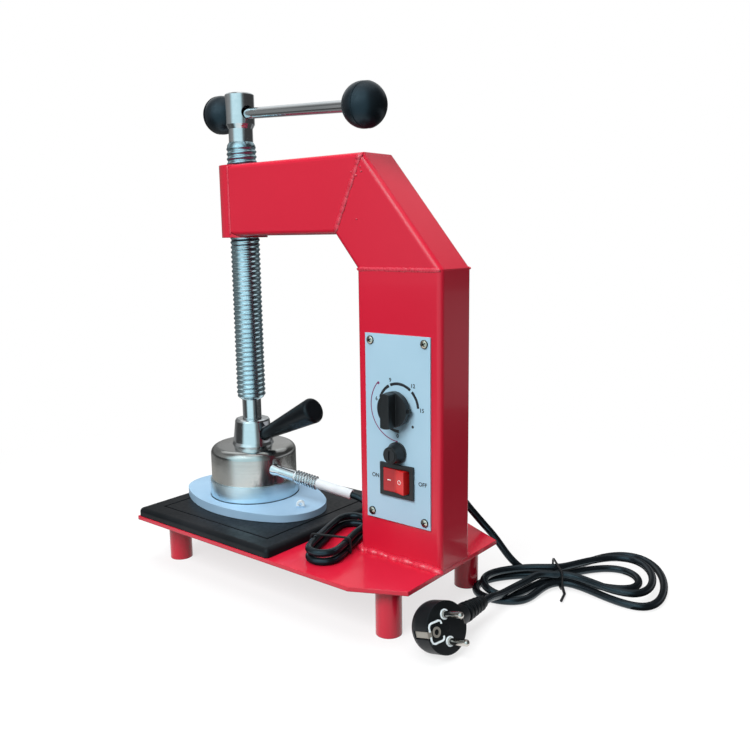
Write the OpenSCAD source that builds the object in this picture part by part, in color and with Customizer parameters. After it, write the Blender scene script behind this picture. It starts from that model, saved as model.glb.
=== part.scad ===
// Tire patch vulcanizer: a welded press frame, a screw spindle and a heated shoe over a rubber bed.
// Millimetres, +Z up. The origin lies on the floor under the middle of the press, overhanging shoe included.
// X runs along the plate to the column, and the control panel on the column faces -Y.

/* [Base] */
// Length of the base plate, along X
plate_l = 292; // [270:1:330]
// Width of the base plate, along Y
plate_w = 163; // [140:1:190]
// Thickness of the base plate
plate_t = 3.5; // [2:0.5:8]
// Corner chamfer at the column end, along X
chamfer_x = 40; // [10:1:50]
// Corner chamfer at the column end, along Y
chamfer_y = 20; // [5:1:30]
// Diameter of a foot
foot_d = 20; // [14:1:26]
// Height of a foot
foot_h = 38.5; // [24:0.5:50]
// Distance of a foot's axis from the plate's end
foot_inset_x = 24; // [18:1:34]
// Distance of a foot's axis from the plate's side
foot_inset_y = 28; // [24:1:40]

/* [Press frame] */
// Width of the column tube, along X
col_w = 78; // [70:1:90]
// Depth of the column, brace and arm tubes, along Y
tube_d = 40; // [38:1:50]
// Wall of the tubes
tube_wall = 3; // [2:0.5:4]
// Outer corner radius of the tubes
tube_r = 4; // [3.5:0.5:6]
// Height of the column above the plate
col_h = 225; // [215:1:260]
// Height of the arm and brace tube section
arm_h = 60; // [50:1:66]
// Height of the arm's top above the plate
arm_rise = 311; // [300:1:340]
// Distance of the spindle's axis from the plate's free end
spindle_inset = 69.5; // [60:0.5:80]
// Size of the weld beads
bead_r = 2.2; // [1:0.1:4]

/* [Spindle] */
// Outer diameter of the spindle thread
thread_d = 26; // [22:0.5:28]
// Pitch of the spindle thread
thread_pitch = 4.2; // [3.5:0.1:6]
// Depth of the spindle thread
thread_depth = 1.5; // [1:0.1:2]
// Radial gap between the thread and the nut's bore
thread_gap = 0.4; // [0.3:0.1:1]
// Outer diameter of the nut bush that is welded in the arm's end
nut_d = 40; // [36:0.5:46]
// How far the nut bush stands below the arm
nut_drop = 1.5; // [0.5:0.5:5]
// Height of the thread's lower end above the plate
thread_low = 104; // [95:1:120]
// Number of turns of the thread
thread_turns = 54; // [50:1:58]
// Diameter of the plain neck above the thread
neck_d = 21; // [16:0.5:22]
// Length of the plain neck above the thread
neck_l = 14.7; // [8:0.1:24]
// Diameter of the spindle's head
head_d = 25; // [23:0.5:30]
// Height of the spindle's head
head_h = 25.5; // [20:0.5:34]
// Height of the bar's hole above the head's lower edge
hole_rise = 9.1; // [8:0.1:16]
// Diameter of the swivel neck below the thread
swivel_d = 17; // [12:0.5:18]

/* [Tommy bar] */
// Diameter of the tommy bar
bar_d = 9; // [6:0.5:10]
// Free length of the bar between its knobs
bar_free = 162.5; // [120:0.5:180]
// Diameter of a ball knob
knob_d = 34; // [30:0.5:44]
// Length of a ball knob along the bar
knob_l = 32.5; // [28:0.5:40]
// Turn of the bar about the spindle, from +X
bar_turn = -10; // [-30:1:30]
// Droop of the loose bar's knob end
bar_droop = 4.4; // [0:0.1:5]

/* [Bed] */
// Length of the rubber bed pad
pad_l = 168; // [120:1:180]
// Width of the rubber bed pad
pad_w = 162; // [110:1:163]
// Thickness of the rubber bed pad
pad_t = 7.7; // [5:0.1:10]
// Edge rounding of the bed pad
pad_r = 4; // [1:0.5:4.5]
// Distance of the square groove from the pad's edge
groove_inset = 16; // [8:1:30]
// Width of the square groove
groove_w = 1.6; // [1:0.1:3]

/* [Heating head] */
// Length of the oval heating shoe
shoe_l = 158; // [130:1:170]
// Width of the oval heating shoe
shoe_w = 99; // [96:1:120]
// Thickness of the heating shoe
shoe_t = 6.2; // [4.5:0.1:8]
// Rise of the shoe's top towards the heater body
shoe_crown = 2; // [0.5:0.1:3]
// Turn of the shoe's long axis, from +X
shoe_turn = -3.6; // [-10:0.1:10]
// Outer diameter of the heater body
heater_d = 81; // [74:1:86]
// Height of the heater body that shows above the shoe
heater_show = 14.7; // [10:0.1:18]
// Outer diameter of the chrome cap
cap_d = 78; // [72:1:82]
// Wall of the chrome cap
cap_wall = 1.5; // [1:0.1:3]
// Height of the chrome cap's straight side
cap_side = 24; // [20:0.5:27]
// Rounding of the cap's shoulder
cap_r = 7; // [3:0.5:8]
// Rise of the cap's top from the shoulder to the collar
cap_dome = 0.6; // [0.4:0.1:6]
// Diameter of the collar's foot
collar_foot_d = 38; // [34:0.5:42]
// Diameter of the collar's top
collar_top_d = 31; // [27:0.5:33]
// Height of the collar
collar_h = 23.5; // [20:0.5:28]
// Travel of the heating head
head_travel = 100; // [60:5:120]

/* [Handle and lead] */
// Largest diameter of the handle grip
grip_d = 22.5; // [18:0.5:28]
// Diameter of the grip's thin end
grip_thin_d = 11; // [9.5:0.5:14]
// Length of the grip
grip_l = 69.5; // [50:0.5:80]
// Turn of the handle about the spindle, from +X
grip_turn = 1; // [-10:1:40]
// Upward tilt of the handle
grip_tilt = 26; // [15:0.5:35]
// Diameter of the heater's lead
lead_d = 6; // [4:0.1:6.2]
// Outer diameter of the lead's spring
spring_d = 12; // [10:0.5:14]
// Wire of the lead's spring
spring_wire = 1.6; // [1:0.1:1.8]
// Curls of the lead's spring
spring_curls = 8; // [5:1:9]
// Outer diameter of the white sleeve
sleeve_d = 8.6; // [7.5:0.1:9.5]

/* [Control panel] */
// Width of the panel
panel_w = 60.5; // [58:0.5:66]
// Height of the panel
panel_h = 146; // [140:1:160]
// Thickness of the panel
panel_t = 1.2; // [0.8:0.1:2]
// Height of the panel's lower edge above the plate
panel_rise = 31; // [26:1:36]
// Height of the timer above the panel's lower edge
timer_rise = 90.5; // [84:0.5:96]
// Height of the fuse above the panel's lower edge
fuse_rise = 55.8; // [54:0.5:60]
// Height of the switch above the panel's lower edge
switch_rise = 34; // [30:0.5:36]
// Diameter of the timer knob
dial_d = 27; // [22:0.5:32]
// Height of the timer knob
dial_h = 16; // [10:0.5:20]
// Width of the switch
switch_w = 31.5; // [28:0.5:36]
// Height of the switch
switch_h = 25.7; // [22:0.1:26]

/* [Mains cord] */
// Diameter of the mains cord
cord_d = 6.2; // [5:0.1:6.4]
// Outer diameter of the plug's face
plug_d = 37; // [34:0.5:40]

/* [Hidden] */
$fn = 64;
e = 0.01;
gap = 0.3;
fit = 0.15;

// Frame
plate_top = foot_h + plate_t;
mid_x = (shoe_l / 2 - spindle_inset) / 2;
plate_x0 = mid_x - plate_l / 2;
col_x1 = mid_x + plate_l / 2;
col_x0 = col_x1 - col_w;
col_cx = (col_x0 + col_x1) / 2;
col_top = plate_top + col_h;
front_y = -tube_d / 2;
arm_top = plate_top + arm_rise;
arm_bot = arm_top - arm_h;
brace_angle = asin(arm_h / col_w);
bend_x = col_x1 - (arm_top - col_top) / tan(brace_angle);
inner_x = bend_x - arm_h * tan(brace_angle / 2);
mitre = [bend_x - inner_x, arm_h] / norm([bend_x - inner_x, arm_h]);
spindle_x = plate_x0 + spindle_inset;
coped_end = 3;
bead_sink = 0.5;
far = 400;

// Bed and heating head, stacked on the plate
pad_lip = 0.4;
pad_rim = min(pad_r, pad_t / 2 - 0.1);
pad_x = plate_x0 + pad_lip + pad_l / 2;
pad_top = plate_top + pad_t;
shoe_z = pad_top + gap;
shoe_top = shoe_z + shoe_t + shoe_crown;
recess = 2;
recess_gap = 0.5;
shoe_screw_inset = 12;
cap_z = shoe_top + heater_show;
cap_in_r = cap_d / 2 - cap_wall;
crown_t = 2;
spigot_h = 4.5;
spigot_top = cap_z + spigot_h;
shoulder_z = cap_z + cap_side;
dome_z = shoulder_z + cap_r;
collar_z = dome_z + cap_dome;
collar_top = collar_z + collar_h;
collar_floor = 5;
swivel_gap = 0.4;
swivel_low = collar_z + collar_floor + gap;
post_d = 14;
element_h = 4;
insulation_h = 6;
element_d = 2 * cap_in_r - 4;

// Spindle
thread_z = plate_top + thread_low;
thread_l = thread_turns * thread_pitch;
neck_z = thread_z + thread_l;
taper_h = 3.7;
head_z = neck_z + neck_l;
head_edge = 1;
bar_z = head_z + hole_rise;
thread_sides = 16;
groove_core_d = swivel_d - 5;
retainer_h = 3;
retainer_z = collar_top - 2 * retainer_h;

// Tommy bar: the hole is wide enough for the droop
bar_clear = head_d / 2 * tan(bar_droop) + 0.3;
bar_hole_d = bar_d + 2 * bar_clear;
knob_face = head_d / 2 + 0.8;
knob_sock = 14;

// Handle
grip_root = collar_top_d / 2 + 1.5;
grip_z = collar_z + 0.115 * collar_h;
grip_seat_d = grip_thin_d + 2.4;
stud_d = 8;
stud_in = 20;
stud_deep = 4.5;

// Lead: gland, spring and sleeve lie along one line from the cap's side
lead_turn = 13;
lead_tilt = 9.8;
gland_turn = -13.7;
gland_z = cap_z + 14.1;
gland_root = [cos(gland_turn), sin(gland_turn)] * (cap_d / 2 - 1);
gland_cone = 6;
gland_l = 15;
gland_d = 9.5;
spring_at = gland_cone + gland_l;
spring_pitch = 2.7;
spring_l = spring_curls * spring_pitch + 2 * spring_wire;
sleeve_at = gland_cone + gland_l - 5;
sleeve_end = 78;
lead_in = 8;

// Control panel
panel_z = plate_top + panel_rise;
panel_y = front_y - panel_t;
timer_z = panel_z + timer_rise;
fuse_z = panel_z + fuse_rise;
switch_z = panel_z + switch_rise;
screw_inset = 5.2;
window_w = panel_w - 14;
window_h = panel_h - 24;
timer_box = [44, 30, 40];
shaft_d = 6;
fuse_flange_d = 17;
fuse_flange_t = 2;
fuse_body_d = 13;
fuse_body_l = 34;
fuse_cap_d = 12.6;
fuse_cap_l = 8.5;
fuse_bore_d = 9;
fuse_tube_d = 5.2;
fuse_tube_l = 20;
bezel_t = 2;
switch_body = [switch_w - 4, 24, switch_h - 4];
pocket = [switch_w - 7, 11, switch_h - 7];
rocker_tilt = 7.5;
rocker_axle_y = 5;
rocker_rise = 2.2;

// Cord routes: points chosen by hand along each free stretch, from the column's middle or left face
function from_column(x, p) = [for (q = p) q + [x, 0, 0]];
gland_out = 26;
mains_exit = [col_cx, tube_d / 2 + gland_out, plate_top + 38];
mains_route = from_column(col_cx, [[0, 54, 79], [2, 63, 73], [8, 70, 61], [17, 76, 48], [27, 80, 36],
                                   [38, 86, 19], [46, 92.5, 9]]);
tail_route = from_column(col_cx, [[64, 66, 10.6], [61.5, 48, 10.4], [61, 31, 11.8]]);
lead_route = from_column(col_x0, [[-25, 9.5, 72], [-17, 11, 68], [-12, 10.5, 61], [-11.5, 6, 55], [-12, -2, 52.2]]);
lead_tail_route = from_column(col_x0, [[-24, 20.6, 45.6], [-16.5, 19.5, 47.8], [-11, 14.2, 51.4]]);
grommet_at = [col_x0, 11.5, plate_top + 11];

// Wires from the terminal block to the timer and the switch
block = [56, 14, 14];
block_at = [col_cx - block.x / 2, tube_d / 2 - tube_wall - block.y, plate_top + 6];
block_ways = 5;
wire_y = block_at.y + block.y / 2;
wire_z = block_at.z + block.z - 4;
timer_low = timer_z - timer_box.z / 2 - 0.2;
switch_back = panel_y + switch_body.y + 0.4;
function way_x(i) = block_at.x + block.x * (i + 0.5) / block_ways;
harness = concat([for (i = [0, block_ways - 1])
    let (inner = col_cx + (way_x(i) - col_cx) / 2)
    [[way_x(i), wire_y, wire_z], [way_x(i), wire_y, wire_z + 8], [way_x(i), wire_y - 2, wire_z + 40],
     [inner, wire_y - 4, timer_low - 10], [inner, wire_y - 4, timer_low]]],
    [[[col_cx, wire_y, wire_z], [col_cx, wire_y, wire_z + 8], [col_cx, wire_y, switch_z - 12],
      [col_cx, switch_back + 4, switch_z], [col_cx, switch_back, switch_z]]]);
wire_d = 2.2;

// Mains hank: loops drawn in at the waist, wide towards the free side and bent round the back foot
hank_at = [col_cx + 76, 100.5];
hank_turn = 40;
hank_loops = 2.5;
hank_right = [62, 92];
hank_right_open = [24, 112];
hank_right_bend = -0.18;
hank_left = [64, 84];
hank_left_open = [22, 54];
hank_left_bend = 0.68;
hank_waist = [2.2, 12.8];
hank_round = 0.12;
hank_layer = cord_d + 0.8;
hank_reverse = 1.5;
hank_climb = 1.66;
hank_z = cord_d / 2 + 0.15;
tie_lift = 1.6;
tie_wire = 1.4;
loop_rings = 24;
loop_sides = 6;

// Lead hank: two long loops, one above the other, on the base plate
lead_hank_at = [col_x0 - 20, -24.5];
lead_hank_turn = -70;
lead_hank_r = 13;
lead_hank_run = 31;
lead_hank_layer = lead_d + 0.8;
lead_hank_z = plate_top + lead_d / 2 + 0.15;

// Plug
plug_at = [col_cx + 69, -57, 22.2];
plug_turn = -12;
plug_tilt = 18;
plug_depth = 24;
pin_d = 4.8;
pin_l = 19;
pin_span = 19;
relief_l = 30;
relief_at = plug_d / 2 - 3;
relief_bend = 13;
relief_neck = 14;
plug_along = [cos(plug_tilt) * cos(plug_turn), cos(plug_tilt) * sin(plug_turn), sin(plug_tilt)];
plug_aside = [-sin(plug_turn), cos(plug_turn), 0];
relief_along = cos(relief_bend) * plug_aside - sin(relief_bend) * plug_along;
relief_end = plug_at + relief_at * plug_aside - plug_depth / 2 * plug_along + (relief_neck + relief_l) * relief_along;
relief_bore = 10;

// Curves
function unit(v) = v / norm(v);
function spline_at(p, i, t) =
    let (a = p[max(i - 1, 0)], b = p[i], c = p[i + 1], d = p[min(i + 2, len(p) - 1)])
    0.5 * (2 * b + (c - a) * t + (2 * a - 5 * b + 4 * c - d) * t * t + (3 * b - a - 3 * c + d) * t * t * t);
function spline(p, n) =
    concat([for (i = [0:len(p) - 2]) for (k = [0:n - 1]) spline_at(p, i, k / n)], [p[len(p) - 1]]);
function tangent(p, i) = unit(p[min(i + 1, len(p) - 1)] - p[max(i - 1, 0)]);
function ring(p, i, r, sides, up) =
    let (t = tangent(p, i), s = unit(cross(t, up)), u = cross(s, t))
    [for (k = [0:sides - 1]) p[i] + r * (cos(360 * k / sides) * s + sin(360 * k / sides) * u)];
function route_length(p) = len(p) < 2 ? 0 : [for (i = 0, s = 0; i < len(p); s = s + (i + 1 < len(p) ?
    norm(p[i + 1] - p[i]) : 0), i = i + 1) s][len(p) - 1];
function gap_between(p, q, d) = min([for (a = p) for (b = q) norm(a - b) - d]);
function inner_points(p, first, last) = [for (i = [first:len(p) - 1 - last]) p[i]];
function least_gap(p, d, skip) =
    min([for (i = [0:len(p) - 1 - skip]) for (k = [i + skip:len(p) - 1]) norm(p[i] - p[k]) - d]);

// A closed tube along the points p
module tube(p, d, sides, up = [0, 0, 1]) {
    n = len(p);
    points = [for (i = [0:n - 1]) each ring(p, i, d / 2, sides, up)];
    walls = [for (i = [0:n - 2]) for (k = [0:sides - 1])
        let (a = i * sides + k, b = i * sides + (k + 1) % sides)
        each [[a, a + sides, b], [b, a + sides, b + sides]]];
    first = [for (k = [1:sides - 2]) [0, k, k + 1]];
    last = [for (k = [1:sides - 2]) [(n - 1) * sides, (n - 1) * sides + k + 1, (n - 1) * sides + k]];
    polyhedron(points, concat(walls, first, last));
}

module rounded_rect(w, h, r) {
    square([w - 2 * r, h], center = true);
    square([w, h - 2 * r], center = true);
    for (x = [-1, 1])
        for (y = [-1, 1])
            translate([x * (w / 2 - r), y * (h / 2 - r)])
                circle(r);
}

module tube_section(w, h) {
    difference() {
        rounded_rect(w, h, tube_r);
        rounded_rect(w - 2 * tube_wall, h - 2 * tube_wall, tube_r - tube_wall + 0.2);
    }
}

// Turns the XY plane into the XZ plane, with the extrusion centred on Y
module upright(depth) {
    rotate([90, 0, 0])
        linear_extrude(depth, center = true)
            children();
}

// Base
module base_plate() {
    color("crimson")
        translate([0, 0, foot_h])
            linear_extrude(plate_t)
                polygon([[plate_x0, -plate_w / 2], [col_x1 - chamfer_x, -plate_w / 2],
                         [col_x1, chamfer_y - plate_w / 2], [col_x1, plate_w / 2 - chamfer_y],
                         [col_x1 - chamfer_x, plate_w / 2], [plate_x0, plate_w / 2]]);
}

module feet() {
    color("crimson")
        for (x = [-1, 1])
            for (y = [-1, 1])
                translate([mid_x + x * (plate_l / 2 - foot_inset_x), y * (plate_w / 2 - foot_inset_y), 0])
                    cylinder(foot_h, d = foot_d);
}

// Press frame
module column_tube() {
    color("crimson")
        difference() {
            translate([col_cx, 0, plate_top])
                linear_extrude(col_h)
                    tube_section(col_w, tube_d);
            translate([col_cx, front_y, panel_z + panel_h / 2])
                cube([window_w, 3 * tube_wall, window_h], center = true);
            for (x = [-1, 1])
                for (z = [screw_inset, panel_h - screw_inset])
                    translate([col_cx + x * (panel_w / 2 - screw_inset), front_y + 2 * tube_wall, panel_z + z])
                        rotate([90, 0, 0])
                            cylinder(4 * tube_wall, d = 3.3);
            translate([mains_exit.x, tube_d / 2 + tube_wall, mains_exit.z])
                rotate([90, 0, 0])
                    cylinder(4 * tube_wall, d = 12.6);
            translate([col_x0 - tube_wall, grommet_at.y, grommet_at.z])
                rotate([0, 90, 0])
                    cylinder(4 * tube_wall, d = lead_d + 5);
        }
}

module brace_tube() {
    top = [bend_x, arm_top] + 20 * mitre;
    low = [inner_x, arm_bot] - 20 * mitre;
    color("crimson")
        intersection() {
            translate([col_x1, 0, col_top])
                rotate([0, brace_angle - 90, 0])
                    translate([-arm_h / 2, 0, -arm_h])
                        linear_extrude(far)
                            tube_section(arm_h, tube_d);
            upright(2 * tube_d)
                polygon([low, top, [far, top[1]], [far, col_top], [low[0] - 10, col_top]]);
        }
}

module arm_tube() {
    top = [bend_x, arm_top] + 20 * mitre;
    low = [inner_x, arm_bot] - 20 * mitre;
    color("crimson")
        difference() {
            intersection() {
                translate([spindle_x + coped_end, 0, (arm_top + arm_bot) / 2])
                    rotate([90, 0, 90])
                        linear_extrude(far)
                            tube_section(tube_d, arm_h);
                upright(2 * tube_d)
                    polygon([low, top, [-far, top[1]], [-far, low[1]]]);
            }
            translate([spindle_x, 0, arm_bot - tube_wall])
                cylinder(arm_h + 2 * tube_wall, d = nut_d + 2 * fit);
        }
}

module spindle_nut() {
    color("crimson")
        translate([spindle_x, 0, arm_bot - nut_drop])
            difference() {
                cylinder(arm_h + nut_drop, d = nut_d);
                translate([0, 0, -1])
                    cylinder(arm_h + nut_drop + 2, d = thread_d + 2 * thread_gap);
            }
}

module bead_section() {
    intersection() {
        circle(bead_r);
        square(bead_r);
    }
}

// Quarter round beads along the foot of the column, up to the plate's end
module weld_base() {
    run_x = col_w - 2 * tube_r;
    run_y = tube_d - 2 * tube_r;
    color("firebrick")
        translate([col_cx, 0, plate_top])
            union() {
                for (side = [90, -90])
                    rotate([0, 0, side])
                        rotate([90, 0, 0])
                            linear_extrude(run_x, center = true)
                                translate([tube_d / 2, 0])
                                    bead_section();
                rotate([0, 0, 180])
                    rotate([90, 0, 0])
                        linear_extrude(run_y, center = true)
                            translate([col_w / 2, 0])
                                bead_section();
                translate([-run_x / 2, run_y / 2, 0])
                    rotate([0, 0, 90])
                        rotate_extrude(angle = 90)
                            translate([tube_r, 0])
                                bead_section();
                translate([-run_x / 2, -run_y / 2, 0])
                    rotate([0, 0, 180])
                        rotate_extrude(angle = 90)
                            translate([tube_r, 0])
                                bead_section();
            }
}

// A flat bead on the tube's side faces, between two points of the XZ plane
module side_bead(a, b) {
    run = b - a;
    for (s = [-1, 1])
        intersection() {
            translate([a[0], s * (tube_d / 2 - bead_sink), a[1]])
                rotate([0, 90 - atan2(run[1], run[0]), 0])
                    cylinder(norm(run), r = bead_r * 0.8);
            translate([-far, s > 0 ? tube_d / 2 : -far - tube_d / 2, 0])
                cube([2 * far, far, 2 * far]);
        }
}

module weld_column() {
    color("firebrick")
        side_bead([col_x0 + tube_r, col_top], [col_x1 - tube_r, col_top]);
}

module weld_arm() {
    color("firebrick")
        side_bead([inner_x, arm_bot] + tube_r * mitre, [bend_x, arm_top] - tube_r * mitre);
}

// Vertical beads where the arm's cheeks meet the nut bush
module weld_nut() {
    face = max(tube_d, nut_d) / 2;
    color("firebrick")
        for (s = [-1, 1])
            intersection() {
                translate([spindle_x + coped_end, s * (face - bead_sink), arm_bot + tube_r])
                    cylinder(arm_h - 2 * tube_r, r = bead_r * 0.8);
                translate([-far, s > 0 ? face : -far - face, 0])
                    cube([2 * far, far, 2 * far]);
            }
}

// Bed
module bed_pad() {
    inner_l = pad_l - 2 * groove_inset;
    inner_w = pad_w - 2 * groove_inset;
    color("dimgray")
        translate([pad_x, 0, plate_top])
            difference() {
                union() {
                    linear_extrude(pad_t - pad_rim)
                        rounded_rect(pad_l, pad_w, pad_rim);
                    linear_extrude(pad_t)
                        square([pad_l - 2 * pad_rim, pad_w - 2 * pad_rim], center = true);
                    for (s = [-1, 1]) {
                        translate([pad_rim - pad_l / 2, s * (pad_w / 2 - pad_rim), pad_t - pad_rim])
                            rotate([0, 90, 0])
                                cylinder(pad_l - 2 * pad_rim, r = pad_rim);
                        translate([s * (pad_l / 2 - pad_rim), pad_w / 2 - pad_rim, pad_t - pad_rim])
                            rotate([90, 0, 0])
                                cylinder(pad_w - 2 * pad_rim, r = pad_rim);
                        for (y = [-1, 1])
                            translate([s * (pad_l / 2 - pad_rim), y * (pad_w / 2 - pad_rim), pad_t - pad_rim])
                                sphere(pad_rim);
                    }
                }
                translate([0, 0, pad_t - 1])
                    linear_extrude(2)
                        difference() {
                            square([inner_l, inner_w], center = true);
                            square([inner_l - 2 * groove_w, inner_w - 2 * groove_w], center = true);
                        }
            }
}

// Control panel and what sits behind it
module on_panel(x, z) {
    translate([col_cx + x, panel_y, z])
        rotate([90, 0, 0])
            children();
}

module control_panel() {
    color("lightsteelblue")
            difference() {
                translate([col_cx - panel_w / 2, panel_y, panel_z])
                    cube([panel_w, panel_t, panel_h]);
                for (x = [-1, 1])
                    for (z = [screw_inset, panel_h - screw_inset])
                        on_panel(x * (panel_w / 2 - screw_inset), panel_z + z)
                            translate([0, 0, -2 * panel_t])
                                cylinder(4 * panel_t, d = 3.6);
                on_panel(0, timer_z)
                    translate([0, 0, -2 * panel_t])
                        cylinder(4 * panel_t, d = shaft_d + 4);
                on_panel(0, fuse_z)
                    translate([0, 0, -2 * panel_t])
                        cylinder(4 * panel_t, d = fuse_body_d + 2 * fit);
                translate([col_cx, panel_y, switch_z])
                    cube([switch_body.x + 2 * fit, 4 * panel_t, switch_body.z + 2 * fit], center = true);
            }
}

module panel_screws() {
    color("silver")
        for (x = [-1, 1])
            for (z = [screw_inset, panel_h - screw_inset])
                on_panel(x * (panel_w / 2 - screw_inset), panel_z + z) {
                    translate([0, 0, -panel_t - tube_wall - 3])
                        cylinder(panel_t + tube_wall + 3 + e, d = 3);
                    difference() {
                        rotate_extrude()
                            intersection() {
                                translate([0, -3.8])
                                    circle(5.6);
                                square([3.2, 3]);
                            }
                        for (a = [0, 90])
                            rotate(a + 30)
                                translate([-2, -0.4, 0.9])
                                    cube([4, 0.8, 2]);
                    }
                }
}

module timer_body() {
    color("ivory")
        union() {
            translate([col_cx - timer_box.x / 2, front_y, timer_z - timer_box.z / 2])
                difference() {
                    cube(timer_box);
                    translate([timer_box.x / 2, 12, timer_box.z / 2])
                        rotate([90, 0, 0])
                            cylinder(14, d = shaft_d + 2 * gap);
                }
            on_panel(0, timer_z)
                translate([0, 0, -panel_t])
                    difference() {
                        cylinder(panel_t + 2, d = shaft_d + 3.6);
                        translate([0, 0, -1])
                            cylinder(panel_t + 4, d = shaft_d + 2 * gap);
                    }
        }
}

module timer_shaft() {
    color("silver")
        on_panel(0, timer_z)
            translate([0, 0, -panel_t - 11])
                cylinder(panel_t + 11 + dial_h - 4, d = shaft_d);
}

module timer_knob() {
    bar_w = 8;
    skirt_h = 5;
    base_gap = 2.4;
    color("#202022")
        on_panel(0, timer_z)
            difference() {
                union() {
                    translate([0, 0, base_gap])
                        cylinder(skirt_h, d = dial_d);
                    intersection() {
                        translate([-bar_w / 2, -dial_d / 2, base_gap])
                            cube([bar_w, dial_d, dial_h - base_gap]);
                        translate([0, 0, base_gap])
                            cylinder(dial_h, d = dial_d - 0.4);
                    }
                    translate([dial_d / 2 - 1, -1.5, base_gap])
                        cube([2.6, 3, 3]);
                }
                cylinder(dial_h - 3.4, d = shaft_d);
            }
}

module fuse_holder() {
    color("#2a2a2c")
        on_panel(0, fuse_z)
            difference() {
                union() {
                    cylinder(fuse_flange_t, d = fuse_flange_d);
                    translate([0, 0, -fuse_body_l])
                        cylinder(fuse_body_l + e, d = fuse_body_d);
                }
                translate([0, 0, -fuse_body_l + 4])
                    cylinder(fuse_body_l + 2, d = fuse_bore_d);
            }
}

module fuse_cap() {
    color("#262628")
        on_panel(0, fuse_z)
            union() {
                translate([0, 0, fuse_flange_t + gap])
                    difference() {
                        union() {
                            cylinder(fuse_cap_l - 1, d1 = fuse_flange_d - 1, d2 = fuse_cap_d);
                            cylinder(fuse_cap_l, d = fuse_cap_d - 2.4);
                        }
                        translate([-0.7, -3.5, fuse_cap_l - 1])
                            cube([1.4, 7, 2]);
                    }
                translate([0, 0, -3])
                    cylinder(fuse_flange_t + 3 + gap + e, d = fuse_bore_d - 2 * gap);
            }
}

module fuse_tube() {
    color("lightcyan")
        on_panel(0, fuse_z)
            translate([0, 0, -3 - fuse_tube_l])
                cylinder(fuse_tube_l, d = fuse_tube_d);
}

module switch_housing() {
    color("#222224")
        translate([col_cx, panel_y, switch_z])
            difference() {
                union() {
                    translate([-switch_w / 2, -bezel_t, -switch_h / 2])
                        cube([switch_w, bezel_t, switch_h]);
                    translate([-switch_body.x / 2, -e, -switch_body.z / 2])
                        cube([switch_body.x, switch_body.y, switch_body.z]);
                }
                translate([-pocket.x / 2, -bezel_t - 1, -pocket.z / 2])
                    cube([pocket.x, pocket.y + bezel_t + 1, pocket.z]);
            }
}

// The rocker turns on the switch's upright axle and rests with its left end pressed in
module rocker() {
    half = pocket.x / 2 - 1.6;
    tall = pocket.z - 2 * gap;
    depth = rocker_axle_y + bezel_t + rocker_rise;
    color("red")
        translate([col_cx, panel_y + rocker_axle_y, switch_z])
            rotate([0, 0, -rocker_tilt])
                union() {
                    linear_extrude(tall, center = true)
                        polygon([[-half, -depth], [0, -depth + 1.6], [half, -depth], [half, -2], [1.8, 0],
                                 [1.8, 4], [-1.8, 4], [-1.8, 0], [-half, -2]]);
                    cylinder(tall, d = 5, center = true);
                }
}

module terminal_block() {
    color("ivory")
        translate(block_at)
            difference() {
                cube(block);
                for (i = [0:block_ways - 1])
                    translate([block.x * (i + 0.5) / block_ways, block.y / 2, 3])
                        cylinder(block.z, d = 5);
            }
}

module internal_wires() {
    color("darkorange")
        for (w = harness)
            tube(spline(w, 3), wire_d, 6, [0, 1, 0.1]);
}

module lead_grommet() {
    color("#1c1c1e")
        translate([col_x0 - 2, grommet_at.y, grommet_at.z])
            rotate([0, 90, 0])
                difference() {
                    union() {
                        cylinder(2, d = lead_d + 9);
                        cylinder(tube_wall + 2, d = lead_d + 5 - 2 * fit);
                    }
                    translate([0, 0, -1])
                        cylinder(tube_wall + 5, d = lead_d + 2 * fit);
                }
}

// Tapered strain relief in the column's back
module mains_gland() {
    color("#1c1c1e")
        translate([mains_exit.x, tube_d / 2 - tube_wall - 3, mains_exit.z])
            rotate([-90, 0, 0])
                difference() {
                    union() {
                        cylinder(tube_wall + 3, d = 12);
                        translate([0, 0, tube_wall + 3])
                            cylinder(4, d = 17);
                        translate([0, 0, tube_wall + 7])
                            cylinder(gland_out - 4, d1 = 12.5, d2 = cord_d + 2.4);
                        for (i = [0:4])
                            translate([0, 0, tube_wall + 10 + 3.4 * i])
                                cylinder(1.8, d = 13 - 0.5 * i);
                    }
                    translate([0, 0, tube_wall + 3 + gland_out - 10])
                        cylinder(11, d = cord_d + 2 * fit);
                    translate([0, 0, -1])
                        cylinder(tube_wall + 3 + gland_out, d = cord_d - 2);
                }
}

// Mains cord
function hank_rate(t) = t < hank_reverse ? 1 - t / hank_reverse : (t - hank_reverse) / hank_reverse;
function mix(a, k) = a[0] + (a[1] - a[0]) * k;
function smooth(k) = let (c = min(max(k, 0), 1)) c * c * (3 - 2 * c);
function hank_point(t) =
    let (a = 90 - 360 * t, c = cos(a), k = hank_rate(t), far_side = c > 0,
         u = abs(c) * mix(far_side ? hank_right : hank_left, k),
         open = mix(far_side ? hank_right_open : hank_left_open, k),
         v = sin(a) * (mix(hank_waist, k) + open * c * c / sqrt(c * c + hank_round)),
         bend = far_side ? hank_right_bend : hank_left_bend,
         h = hank_turn + bend * u,
         r = 180 / PI / bend,
         lift = tie_lift * pow(max(0, 1 - pow(u / 40, 2)), 2),
         z = hank_z + lift + hank_layer * smooth((t - hank_climb) / 0.2))
    [hank_at.x - r * (sin(h) - sin(hank_turn)) * (far_side ? -1 : 1) - v * sin(h),
     hank_at.y + r * (cos(h) - cos(hank_turn)) * (far_side ? -1 : 1) + v * cos(h), z];
hank_along = [cos(hank_turn), sin(hank_turn), 0];
hank_count = ceil(hank_loops * loop_rings);
hank_mid = [for (i = [0:hank_count]) hank_point(i / loop_rings)];
hank_points = concat([hank_mid[0] - cord_d * hank_along], hank_mid, [hank_mid[hank_count] - cord_d * hank_along]);
hank_end = hank_points[len(hank_points) - 1];
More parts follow.
